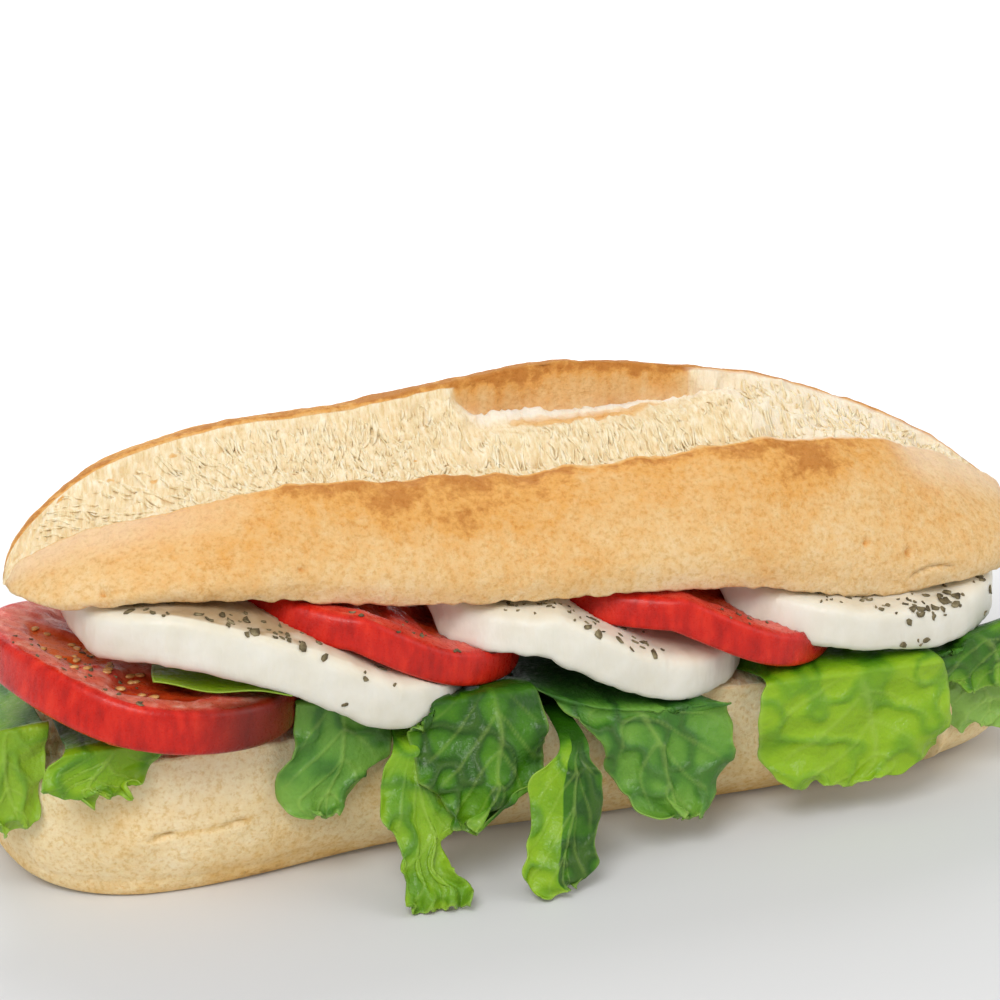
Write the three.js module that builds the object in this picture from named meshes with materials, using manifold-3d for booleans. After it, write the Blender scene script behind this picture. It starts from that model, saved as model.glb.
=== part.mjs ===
// A submarine sandwich: a short crusty loaf split lengthwise, with tomato and mozzarella slices
// shingled along it, dried herbs scattered on them and lettuce leaves that hang out at the front.
// Millimetres. X runs along the loaf, the well filled front faces -Y and +Z is up.
// The origin is in the middle of the flat patch that the loaf rests on.

import * as THREE from 'three';
import { mergeVertices } from 'three/addons/utils/BufferGeometryUtils.js';
import Module from 'manifold-3d';

const wasm = await Module();
wasm.setup();

// Driving dimensions
const GAP = 0.35; // free space kept between two pieces that touch

const BASE = {
  left: -121,
  right: 112,
  halfWidth: 35.5,
  bluntness: 8, // of the outline, seen from above
  tipHeight: 12,
  crown: 1.6, // how much higher the cut face is in its middle
  rings: 24,
  sides: 26,
};
const CROWN = {
  left: -116,
  right: 113,
  halfWidth: 36.5,
  bluntness: 6,
  leftBluntness: 3.8, // of the outline at its pointed left end
  leftTipHeight: 1.5,
  tipHeight: 3.5,
  backDrop: 4, // how much lower the cut face is at the back
  rings: 32,
  sides: 30,
};

const TOMATO_THICKNESS = 7.4;
const CHEESE_THICKNESS = 10;
const LEAF_THICKNESS = 0.8;
const LEAF_CLEARANCE = 1.1; // from the middle of a leaf to the slice that lies on it
const LEAF_STEP = 1.25; // from one leaf to the next where they lie on each other

// Finish of each material, as seen on the food
const CRUST = { color: 0xe3b377, roughness: 0.75 };
const TOMATO = { color: 0xc42f20, roughness: 0.3 };
const CHEESE = { color: 0xece6d8, roughness: 0.45 };
const LETTUCE = { color: 0x5d9a24, roughness: 0.5 };

// Smooth curve through values spaced evenly from 0 to 1
function through(values) {
  const last = values.length - 1;
  const value = (i) => values[Math.min(last, Math.max(0, i))];
  return (s) => {
    const at = Math.min(1, Math.max(0, s)) * last;
    const i = Math.min(last - 1, Math.floor(at));
    const f = at - i;
    const [a, b, c, d] = [value(i - 1), value(i), value(i + 1), value(i + 2)];
    return b + 0.5 * f * (c - a + f * (2 * a - 5 * b + 4 * c - d + f * (3 * (b - c) + d - a)));
  };
}

const mix = (a, b, f) => a + (b - a) * f;

function step(low, high, value) {
  const f = Math.min(1, Math.max(0, (value - low) / (high - low)));
  return f * f * (3 - 2 * f);
}

const bell = (distance, width) => Math.exp(-((distance / width) ** 2));

// Power of a signed number, for rounded rectangular sections
const signedPower = (value, power) => Math.sign(value) * Math.abs(value) ** power;

// Slow uneven wobble between about -1 and 1
function wobble(x, y, phase) {
  return (
    0.5 * Math.sin(0.071 * x + 0.113 * y + phase) +
    0.3 * Math.sin(0.163 * x - 0.097 * y + 2.1 * phase) +
    0.2 * Math.sin(0.31 * x + 0.23 * y + 3.7 * phase)
  );
}

// Share of the full section that is left towards the rounded ends of the loaf
const bluntEnd = (s, bluntness) => Math.sqrt(Math.max(0, 1 - Math.abs(2 * s - 1) ** bluntness));

// Closed geometry of one skin, from any three.js geometry whose vertices are moved by a function
function moved(geometry, place) {
  const position = geometry.getAttribute('position');
  const point = new THREE.Vector3();
  for (let i = 0; i < position.count; i++) {
    place(point.fromBufferAttribute(position, i));
    position.setXYZ(i, point.x, point.y, point.z);
  }
  geometry.deleteAttribute('normal');
  geometry.deleteAttribute('uv');
  return facingOut(mergeVertices(geometry, 1e-3));
}

// Turns the triangles of a closed skin round if they face inwards
function facingOut(geometry) {
  const position = geometry.getAttribute('position');
  const corners = geometry.index.array;
  const [a, b, c] = [new THREE.Vector3(), new THREE.Vector3(), new THREE.Vector3()];
  let volume = 0;
  for (let i = 0; i < corners.length; i += 3) {
    a.fromBufferAttribute(position, corners[i]);
    b.fromBufferAttribute(position, corners[i + 1]);
    c.fromBufferAttribute(position, corners[i + 2]);
    volume += a.dot(b.cross(c)) / 6;
  }
  if (volume < 0) corners.reverse();
  return geometry;
}

function toManifold(geometry) {
  return new wasm.Manifold(
    new wasm.Mesh({
      numProp: 3,
      vertProperties: geometry.getAttribute('position').array,
      triVerts: new Uint32Array(geometry.index.array),
    })
  );
}

function toMesh(name, solid, finish) {
  const made = solid.getMesh();
  const geometry = new THREE.BufferGeometry();
  geometry.setAttribute('position', new THREE.BufferAttribute(made.vertProperties, 3));
  geometry.setIndex(new THREE.BufferAttribute(made.triVerts, 1));
  geometry.computeVertexNormals();
  const mesh = new THREE.Mesh(geometry, new THREE.MeshStandardMaterial({ ...finish, metalness: 0 }));
  mesh.name = name;
  return mesh;
}

// A loaf half is a sphere whose poles are the ends of the loaf. Its rings become sections.
// sectionAt takes the share of the length and the share of the way round, and gives [x, y, z].
function loafHalf(rings, sides, sectionAt) {
  const evenness = 0.5; // how far the middle sections are spread evenly instead of crowding outwards
  const sphere = new THREE.SphereGeometry(1, sides, rings);
  return moved(sphere, (p) => {
    const crowded = Math.min(1, Math.max(0, (1 - p.y) / 2));
    const even = Math.acos(1 - 2 * crowded) / Math.PI;
    const turn = (Math.atan2(p.z, -p.x) / (2 * Math.PI) + 1) % 1;
    const pole = Math.hypot(p.x, p.z) < 1e-6;
    const s = mix(crowded, even, evenness * (1 - (2 * crowded - 1) ** 4));
    p.set(...sectionAt(s, pole ? 0 : turn));
  });
}

// Bottom half of the loaf

const baseX = (s) => mix(BASE.left, BASE.right, s);
const baseShare = (x) => (x - BASE.left) / (BASE.right - BASE.left);
const baseMiddle = through([-4, -4, -3, -2.5, -2.5, -3.5, -4, -3]);
const baseCut = through([28, 31.5, 31.6, 30.8, 30.4, 29.8, 28.6, 27, 24]);
const baseFoot = through([28, 30, 27, 22, 21, 23, 23, 21, 19, 17]); // half width of the flat patch
const baseWidth = (s) => BASE.halfWidth * bluntEnd(s, BASE.bluntness) * (1 + 0.012 * Math.sin(17 * s));
const baseTop = (x, y) => {
  const s = baseShare(x);
  const across = Math.min(1, Math.abs(y - baseMiddle(s)) / Math.max(1, baseWidth(s)));
  return baseCut(s) + BASE.crown * (1 - across ** 2);
};

// Shares of the way round a section: to the front of the foot, to its back, and to the cut face
const BASE_SHARES = [0.3, 0.4, 0.7];

function baseSection(s, turn) {
  const x = baseX(s);
  const width = baseWidth(s);
  const foot = baseFoot(s) * bluntEnd(s, BASE.bluntness);
  const full = bluntEnd(s, 2 * BASE.bluntness);
  const [toFoot, toHeel, toCut] = BASE_SHARES;
  if (turn >= toCut) {
    const across = mix(1, -1, (turn - toCut) / (1 - toCut));
    const crumb = 0.3 * wobble(3 * x, 60 * across, 1) + BASE.crown;
    const z = baseCut(s) + crumb * (1 - across ** 2);
    return [x, baseMiddle(s) + width * across, mix(BASE.tipHeight, z, full)];
  }
  if (turn > toFoot && turn < toHeel) {
    const across = mix(-1, 1, (turn - toFoot) / (toHeel - toFoot));
    return [x, baseMiddle(s) + foot * across, mix(BASE.tipHeight, 0, full)];
  }
  // Crust from the cut face down to the foot, at the front or at the back
  const front = turn <= toFoot;
  const down = front ? turn / toFoot : (toCut - turn) / (toCut - toHeel);
  const angle = (down * Math.PI) / 2;
  const skin = 0.4 * wobble(x, 50 * down, 2.4) + 1.6 * Math.sin(Math.min(1, 1.5 * down) * Math.PI);
  const out = mix(foot, width, Math.cos(angle) ** 0.9) + skin * Math.sin(2 * angle);
  const z = mix(baseCut(s), 0, Math.sin(angle) ** 0.95);
  return [x, baseMiddle(s) + (front ? -out : out), mix(BASE.tipHeight, z, full)];
}

// Top half of the loaf, with two long opened scores

const crownX = (s) => mix(CROWN.left, CROWN.right, s);
const crownShare = (x) => (x - CROWN.left) / (CROWN.right - CROWN.left);
const crownCut = through([62, 64.2, 61.6, 57.6, 55.5, 54.3, 51.5, 46.3, 45.2, 44.5]);
const crownMiddle = through([-16, -9, -4.5, -3.5, -3.5, -3.5, -3.5, -3.5, -4]);
function crownWidth(s) {
  const bluntness = s < 0.5 ? CROWN.leftBluntness : CROWN.bluntness;
  return CROWN.halfWidth * bluntEnd(s, bluntness) * (1 + 0.012 * Math.sin(13 * s + 1));
}

// Where the front and back lips of the scores run, from the left end to the right end
const frontLipY = through([-16, -23, -26, -25, -24, -24, -23, -21, -14, -6]);
const frontLipZ = through([77, 79.5, 81.4, 79.2, 77, 76.6, 77.6, 76.5, 71.5, 66]);
const backLipY = through([2, 9, 12, 13, 15, 16, 17, 17, 13, 4]);
const backLipZ = through([80, 83.5, 84.6, 83.8, 85.4, 87.4, 84.2, 80, 74.5, 69]);

// Strip of torn crumb between the two scores, and how near it comes to the line from lip to lip
const BRIDGE = { x: -24, slant: 0.7, width: 7, depth: 0.6, hold: 0.7 };
const SCORE_WIDTH = 36;
const VALLEY = { depth: 3.6, fullness: 0.7 }; // of the first score
const SECOND_SCORE = { start: -16, startLength: 8, end: 66, endLength: 22 };
const WALL_SHARE = 0.86; // where the tall back wall of the second score begins

// Floor of the second score. The places and widths are shares of the way from lip to lip.
const FLOOR = { height: 0.5 };
const MOUND = { at: 0.45, width: 0.2, height: 2.2 };
const DITCH = { at: 0.12, width: 0.1, depth: 1.8 }; // behind the front lip
const WALL_FOOT = { at: 0.82, width: 0.12, leftDepth: 1.2, rightDepth: 3.2, length: 40 };

const secondScore = (x) =>
  step(SECOND_SCORE.start, SECOND_SCORE.start + SECOND_SCORE.startLength, x) *
  (1 - step(SECOND_SCORE.end - SECOND_SCORE.endLength, SECOND_SCORE.end, x));

function floorHeight(x, inside) {
  const footDepth = mix(WALL_FOOT.leftDepth, WALL_FOOT.rightDepth, step(0, WALL_FOOT.length, x));
  return (
    FLOOR.height +
    MOUND.height * bell(inside - MOUND.at, MOUND.width) -
    DITCH.depth * bell(inside - DITCH.at, DITCH.width) -
    footDepth * bell(inside - WALL_FOOT.at, WALL_FOOT.width)
  );
}

// Height between the lips, against a straight line from lip to lip
function scoreRelief(x, inside) {
  const y = SCORE_WIDTH * (inside - 0.5);
  const bridge = bell(x - BRIDGE.x - BRIDGE.slant * y, BRIDGE.width);
  const valley = -VALLEY.depth * Math.sin(Math.PI * inside) ** VALLEY.fullness;
  const rise = backLipZ(crownShare(x)) - frontLipZ(crownShare(x));
  const wall = step(WALL_SHARE, 1, inside);
  const opened = mix(valley, (floorHeight(x, inside) - rise * inside) * (1 - wall), secondScore(x));
  return mix(opened, -BRIDGE.depth, BRIDGE.hold * bridge);
}

// Shares of the way round a section: to the front lip, to the back lip and to the back edge
const CROWN_SHARES = [0.24, 0.52, 0.78];
const FACE_TURN = THREE.MathUtils.degToRad(72);

function crownSection(s, turn) {
  const x = crownX(s);
  const width = crownWidth(s);
  const middle = crownMiddle(s);
  const cut = crownCut(s);
  const backCut = cut - CROWN.backDrop;
  const [toFront, toBack, toEdge] = CROWN_SHARES;
  const ends = bluntEnd(s, CROWN.bluntness);
  const tall = bluntEnd(s, s < 0.5 ? 3 : 5);
  const tip = s < 0.5 ? CROWN.leftTipHeight : CROWN.tipHeight;
  const front = { y: mix(middle, frontLipY(s), ends), z: frontLipZ(s) };
  const back = { y: mix(middle, backLipY(s), ends), z: backLipZ(s) };
  const ragged = 0.5 * wobble(2.6 * x, 0, 0.7);
  let y;
  let z;
  if (turn < toFront) {
    // Crust from the front edge of the cut up to the front lip
    const angle = (turn / toFront) * FACE_TURN;
    const rise = Math.sin(angle) / Math.sin(FACE_TURN);
    const inward = (1 - Math.cos(angle)) / (1 - Math.cos(FACE_TURN));
    const bulge = 1.3 * Math.sin(Math.PI * Math.min(1, 1.7 * rise));
    y = mix(middle - width, front.y, inward) - bulge;
    z = mix(cut, front.z, rise) + ragged * step(0.7, 1, rise);
  } else if (turn < toBack) {
    const inside = (turn - toFront) / (toBack - toFront);
    const steep = mix(inside, Math.min(1, inside / WALL_SHARE), secondScore(x));
    y = mix(front.y, back.y, steep);
    z = mix(front.z, back.z, inside) + scoreRelief(x, inside) + ragged * (1 - inside);
  } else if (turn < toEdge) {
    // Crust from the back lip down to the back edge of the cut
    const angle = Math.PI / 2 - ((turn - toBack) / (toEdge - toBack)) * (Math.PI / 2);
    y = mix(middle + width, back.y, 1 - Math.cos(angle) ** 0.9);
    z = mix(backCut, back.z, Math.sin(angle) ** 0.9);
  } else {
    const across = mix(1, -1, (turn - toEdge) / (1 - toEdge));
    y = middle + width * across;
    z = mix(cut, backCut, (across + 1) / 2) + 0.3 * wobble(3 * x, 60 * across, 4) * (1 - across ** 2);
  }
  return [x, y, mix(cut + tip, z, tall)];
}

// Slices. Each is a lathed disc that is stretched, bent and laid over the one before it.
// heights are those of the middle of the slice, evenly spaced from its left end to its right end.
// sag is how much lower its front rim hangs at the right end. square is 2 for a round outline.

const SLICES = [
  {
    name: 'tomato_1', kind: 'tomato', x: -88.2, y: -18, rx: 31.5, ry: 34,
    heights: [50, 43.8, 40.4, 38.8], sag: 0, thickness: 9.2,
  },
  {
    name: 'mozzarella_1', kind: 'cheese', x: -64.5, y: -18, rx: 40, ry: 31.5,
    heights: [59.4, 57.4, 51.7, 42.2, 41], sag: 4, square: 2.8, thickness: 10.8,
  },
  {
    name: 'tomato_2', kind: 'tomato', x: -41.5, y: -13.5, rx: 32, ry: 34,
    heights: [65, 55.5, 45.5, 41.5], sag: 2,
  },
  {
    name: 'mozzarella_2', kind: 'cheese', x: 2.5, y: -14, rx: 38.5, ry: 35,
    heights: [62, 50, 39.5, 36.8], sag: 6,
  },
  {
    name: 'tomato_3', kind: 'tomato', x: 29, y: -13, rx: 35, ry: 34.5,
    heights: [60, 50, 41, 38], sag: 3,
  },
  {
    name: 'mozzarella_3', kind: 'cheese', x: 65, y: -13, rx: 36, ry: 34,
    heights: [57, 46, 40.5, 41], sag: 3,
  },
];

const RIM_SIDES = 26;
const RIM_SQUARENESS = 0.6; // 1 for a round rim and 0 for a square one
const RIM_SHARES = { tomato: 0.05, cheese: 0.13 }; // of the radius that the rounding takes

// Half profile of a slice from the middle of its underside to the middle of its top, all shares
function sliceProfile(kind) {
  const rim = RIM_SHARES[kind];
  const points = [new THREE.Vector2(0, -0.5), new THREE.Vector2(0.5, -0.5)];
  const steps = 4;
  for (let i = 0; i <= steps; i++) {
    const angle = -Math.PI / 2 + (i / steps) * Math.PI;
    const height = 0.5 * signedPower(Math.sin(angle), RIM_SQUARENESS);
    points.push(new THREE.Vector2(1 - rim + rim * Math.cos(angle), height));
  }
  points.push(new THREE.Vector2(0.5, 0.5), new THREE.Vector2(0, 0.5));
  return points;
}

// The front edge of the upper crust presses on the slices, from the first depth to the second
const PRESS = { none: -26, full: -34 };

function sliceThickness(slice) {
  if (slice.thickness) return slice.thickness;
  return slice.kind === 'tomato' ? TOMATO_THICKNESS : CHEESE_THICKNESS;
}

// Place in the bent slice of a point of the flat disc: u to the right and v to the back, both from
// -1 to 1, and height from -0.5 at the underside to 0.5 at the top
function slicePlace(slice, u, v, height, grow = 0) {
  const thickness = sliceThickness(slice) + 2 * grow;
  const around = Math.atan2(v, u);
  const power = slice.square ?? 2;
  const corner = (Math.abs(Math.cos(around)) ** power + Math.abs(Math.sin(around)) ** power) ** -(1 / power);
  const wavy =
    1 + 0.02 * Math.sin(3 * around + slice.x) + 0.012 * Math.sin(5 * around + 2 * slice.x);
  const uneven = corner * wavy;
  const bend = through(slice.heights);
  const share = (u * uneven + 1) / 2;
  const reach = 0.02; // share of the length that the slope is taken over, to either side
  const slope = (bend(share + reach) - bend(share - reach)) / (4 * reach * slice.rx);
  const tilt = Math.atan(slope);
  const sag = slice.sag * step(0, 1, share) * Math.max(0, -v) ** 2;
  const x = slice.x + u * uneven * (slice.rx + grow);
  const y = slice.y + v * uneven * (slice.ry + grow);
  const highest = crownCut(crownShare(x)) - sliceThickness(slice) / 2 / Math.cos(tilt) - GAP;
  const middle = bend(share) - sag;
  const held = mix(middle, Math.min(middle, highest), step(PRESS.none, PRESS.full, y));
  return new THREE.Vector3(
    x - height * thickness * Math.sin(tilt),
    y,
    held + height * thickness * Math.cos(tilt)
  );
}

function sliceGeometry(slice, grow = 0) {
  const disc = new THREE.LatheGeometry(sliceProfile(slice.kind), RIM_SIDES);
  return moved(disc, (p) => p.copy(slicePlace(slice, p.x, p.z, p.y, grow)));
}

// Dried herb flakes that lie on the slices where they show, the same on every build.
// across and deep are the spans of u and v that they are scattered over.
const FLAKES = [
  { on: 'tomato_1', count: 2, across: [-0.6, -0.1], deep: [-0.7, -0.5] },
  { on: 'mozzarella_1', count: 3, across: [-0.1, 0.65], deep: [-0.86, -0.76] },
  { on: 'mozzarella_2', count: 2, across: [-0.3, 0.2], deep: [-0.86, -0.8] },
  { on: 'mozzarella_3', count: 6, across: [0, 0.6], deep: [-0.88, -0.8] },
];
const FLAKE = { length: 2.8, width: 1.7, thickness: 0.8 };

let seed = 20260;
function random() {
  seed = (seed * 16807) % 2147483647;
  return seed / 2147483647;
}

const probe = new THREE.Raycaster();
const up = new THREE.Vector3(0, 0, 1);
const HIGH = 200; // above everything

function flakeSolids(slice) {
  const flakes = FLAKES.find((entry) => entry.on === slice.name);
  if (!flakes) return [];
  const ground = new THREE.Mesh(sliceGeometry(slice));
  return Array.from({ length: flakes.count }, (_, i) => {
    const u = mix(...flakes.across, (i + random()) / flakes.count);
    const v = mix(...flakes.deep, random());
    const above = slicePlace(slice, u, v, 0.5).setZ(HIGH);
    probe.set(above, up.clone().negate());
    const [{ point, face }] = probe.intersectObject(ground);
    const size = 1 - 0.35 * (i / flakes.count);
    const flake = new THREE.IcosahedronGeometry(0.5);
    flake.scale(size * FLAKE.length, size * FLAKE.width, FLAKE.thickness);
    flake.rotateZ(Math.PI * random());
    flake.applyQuaternion(new THREE.Quaternion().setFromUnitVectors(up, face.normal));
    return toManifold(moved(flake, (p) => p.add(point)));
  });
}

// Height of the lowest underside of the slices near a point, less the room for a leaf.
// It is probed once on a square grid, and each leaf then reads the lowest of the probes round it.
const GRID = { x: -132, y: -66, pitch: 3, columns: 82, rows: 38 };
const undersides = new THREE.Group();
for (const slice of SLICES) {
  const seenFromBelow = new THREE.MeshBasicMaterial({ side: THREE.DoubleSide });
  undersides.add(new THREE.Mesh(sliceGeometry(slice), seenFromBelow));
}
const ceilings = [];
for (let i = 0; i < GRID.columns; i++) {
  ceilings.push([]);
  for (let j = 0; j < GRID.rows; j++) {
    probe.set(new THREE.Vector3(GRID.x + i * GRID.pitch, GRID.y + j * GRID.pitch, 0), up);
    const hits = probe.intersectObject(undersides, true);
    ceilings[i].push(hits.length ? hits[0].point.z - LEAF_CLEARANCE : Infinity);
  }
}

function ceilingAt(x, y) {
  const [column, row] = [Math.floor((x - GRID.x) / GRID.pitch), Math.floor((y - GRID.y) / GRID.pitch)];
  const near = [0, 1].flatMap((i) => [0, 1].map((j) => ceilings[column + i]?.[row + j] ?? Infinity));
  return Math.min(...near);
}

// Leaves. Each is a thin sheet along a path that starts behind the loaf, runs over the cut face and
// hangs out at the front. heights, left and right follow the hanging part from its top to its tip.
// y and lean place it: y at TOP_OF_HANG, and how far it stands out more for each mm further down.
// level counts the leaves that lie under it.

const TOP_OF_HANG = 36;
const LEAVES = [
  {
    name: 'lettuce_1', level: 0, above: 0, y: -29, lean: 0.08,
    heights: [40, 33, 26, 21, 17],
    left: [-127, -129, -129, -127, -122],
    right: [-111, -112, -113, -114, -116],
    back: [-113, -104], drop: 12, ruffle: 1.2, waves: 2.5,
  },
  {
    name: 'lettuce_2', level: 1, above: 0, y: -41.5, lean: 0.15,
    heights: [38, 34, 31, 29, 27],
    left: [-110, -114, -116, -115, -106],
    right: [-91, -92, -95, -97, -100],
    back: [-102, -82], drop: 9, ruffle: 1, waves: 2,
  },
  {
    name: 'lettuce_3', level: 0, above: 0, y: -41.5, lean: 0.12,
    heights: [43, 35, 28, 21, 16.5],
    left: [-64, -64.5, -67, -69.5, -62],
    right: [-45.5, -45, -46, -51.5, -57],
    back: [-67, -52], drop: 13, ruffle: 1.4, waves: 2,
  },
  {
    name: 'lettuce_4', level: 1, above: 1, y: -44.5, lean: 0.48,
    heights: [34, 27, 20, 14, 8.5, 4, 1],
    left: [-43.5, -48.5, -50.4, -48, -47.3, -48.3, -47],
    right: [-37, -37.5, -36, -35.5, -39, -34, -36],
    back: [-50, -43], drop: 8, ruffle: 1.3, waves: 4,
  },
  {
    name: 'lettuce_5', level: 2, above: 0, y: -47, lean: 0.4,
    heights: [41, 36, 30, 25, 20, 15],
    left: [-37, -41, -42.5, -41.5, -38, -36],
    right: [-16, -14, -14, -16, -20, -31],
    back: [-39, -14], drop: 15, ruffle: 1.5, waves: 2.5,
  },
  {
    name: 'lettuce_6', level: 0, above: 2, y: -50.5, lean: 0.38,
    heights: [29.3, 26, 22, 16, 10, 5, 2],
    left: [-10.5, -15.5, -19.5, -20.8, -22, -23.5, -19],
    right: [-6, -6.5, -5, -5, -7.8, -8.6, -13],
    back: [-13, -8], drop: 7, ruffle: 0.9, waves: 2,
  },
  {
    name: 'lettuce_7', level: 1, above: 1, y: -44, lean: 0.27,
    heights: [31, 29.5, 27, 22, 16, 11, 7.5],
    left: [-15.5, -12.5, -8, -2, 0.5, 7, 14],
    right: [21, 28, 28.5, 28, 26.5, 22.5, 18.5],
    back: [-4, 26], drop: 12, ruffle: 1.6, waves: 2.5, rise: [8, 0],
  },
  {
    name: 'lettuce_8', level: 2, above: 0, y: -46.5, lean: 0.1,
    heights: [34.5, 30, 24, 17, 12, 8.5],
    left: [37, 34.3, 34, 34.8, 37.5, 44],
    right: [76, 77.5, 78.2, 77.4, 73.5, 64],
    back: [34, 54], drop: 10, ruffle: 1.5, waves: 2,
  },
  {
    name: 'lettuce_9', level: 1, above: 1, y: -41.5, lean: 0.15,
    heights: [32.5, 31, 29, 26, 23],
    left: [64, 67, 72, 78, 84],
    right: [99, 103, 105, 104, 99],
    back: [57, 83], drop: 14, ruffle: 1.2, waves: 2, rise: [0, 8],
  },
  {
    name: 'lettuce_10', level: 0, above: 2, y: -37.5, lean: 0.08,
    heights: [27, 23, 19, 15, 12],
    left: [80, 80, 81, 83, 88],
    right: [97, 102, 104, 102, 97],
    back: [87, 100], drop: 9, ruffle: 0.8, waves: 2,
  },
];

const PATH_PARTS = [0.24, 0.5]; // share of the path behind the loaf, and to the front edge of the cut
const LEAF_ROWS = 16;
const LEAF_COLUMNS = 5;

// Spans of the path before and after the front edge of the cut, over which a leaf bends down
const BEND = [0.05, 0.0625];

function leafPoint(leaf, across, along) {
  const [before, after] = BEND;
  const out = PATH_PARTS[1];
  const f = (along - out + before) / (before + after);
  if (f <= 0 || f >= 1) return leafPath(leaf, across, along);
  const [start, corner, end] = [out - before, out, out + after].map((at) => leafPath(leaf, across, at));
  start.multiplyScalar((1 - f) ** 2);
  start.addScaledVector(corner, 2 * f * (1 - f));
  return start.addScaledVector(end, f ** 2);
}

function leafPath(leaf, across, along) {
  const [behind, out] = PATH_PARTS;
  const side = 2 * across - 1;
  const left = through(leaf.left);
  const right = through(leaf.right);
  const height = through(leaf.heights);
  const phase = leaf.left[0];
  const lift = LEAF_CLEARANCE + leaf.level * LEAF_STEP;
  const top = (x, y) => ceilingAt(x, y) - leaf.above * LEAF_STEP;
  const rest = (x, y) => Math.min(baseTop(x, y) + lift, top(x, y));
  const [riseLeft, riseRight] = leaf.rise ?? [0, 0];
  const rise = riseLeft * (1 - across) ** 3 + riseRight * across ** 2;
  if (along >= out) {
    const down = (along - out) / (1 - out);
    const z = height(down) + rise * (1 - down);
    const edge = Math.abs(side) ** 3 * Math.sin(2 * Math.PI * leaf.waves * down + 2.4 * side + phase);
    const tip = down ** 3 * Math.sin(5 * across * leaf.waves + phase);
    const stand = leaf.ruffle * (edge + 0.8 * tip) * step(0, 0.35, down);
    const x = mix(left(down), right(down), across);
    const y = leaf.y - leaf.lean * (TOP_OF_HANG - z) - stand;
    return new THREE.Vector3(x, y, Math.max(0.8, Math.min(z + 0.8 * leaf.ruffle * tip, top(x, y))));
  }
  const [backLeft, backRight] = leaf.back;
  const depth = along / out;
  const middle = mix((backLeft + backRight) / 2, (left(0) + right(0)) / 2, depth);
  const halfWidth = mix((backRight - backLeft) / 2, (right(0) - left(0)) / 2, depth);
  const hang = Math.max(0, 1 - along / behind);
  const lobed = Math.sqrt(1 - 0.8 * hang ** 3) * (1 + 0.06 * Math.sin(9 * depth + phase));
  const x = middle + halfWidth * side * lobed;
  const share = baseShare(x);
  const edgeY = baseMiddle(share) + baseWidth(share) + 2.2 + leaf.level * LEAF_STEP;
  if (hang > 0) {
    const curl = side ** 2 * Math.sin(6 * hang + 3 * side);
    const frill = leaf.ruffle * hang * (Math.sin(7 * across + phase) + curl);
    const fall = leaf.drop * hang ** 1.4 * (1 + 0.12 * Math.sin(8 * across + phase));
    return new THREE.Vector3(x, edgeY + 4 * hang + 0.8 * frill, rest(x, edgeY) - fall);
  }
  const inward = (along - behind) / (out - behind);
  const y = mix(edgeY, leaf.y, inward);
  return new THREE.Vector3(x, y, mix(rest(x, y), Math.min(height(0) + rise, top(x, y)), inward ** 6));
}

// The leaf between the first tomato slice and the cheese on it, of which an edge shows
const TUCKED_LEAF = {
  name: 'lettuce_11',
  on: 'tomato_1',
  left: [-82, -85, -89, -93], // from the back of the leaf to its front edge
  right: [-70, -69, -68, -67],
  front: [-41.5, -48.5], // where its front edge lies, from its left corner to its right one
  back: 10,
  lift: 0.4,
};

function tuckedPoint(leaf, across, along) {
  const slice = SLICES.find((entry) => entry.name === leaf.on);
  const x = mix(through(leaf.left)(along), through(leaf.right)(along), across);
  const y = mix(leaf.back, mix(...leaf.front, across), along);
  const under = slicePlace(slice, (x - slice.x) / slice.rx, (y - slice.y) / slice.ry, 0.5);
  const wave = (0.4 + 0.5 * Math.sin(9 * across + 1)) * step(0.75, 1, along);
  return new THREE.Vector3(x, y, under.z + LEAF_CLEARANCE + leaf.lift + wave);
}

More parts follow.
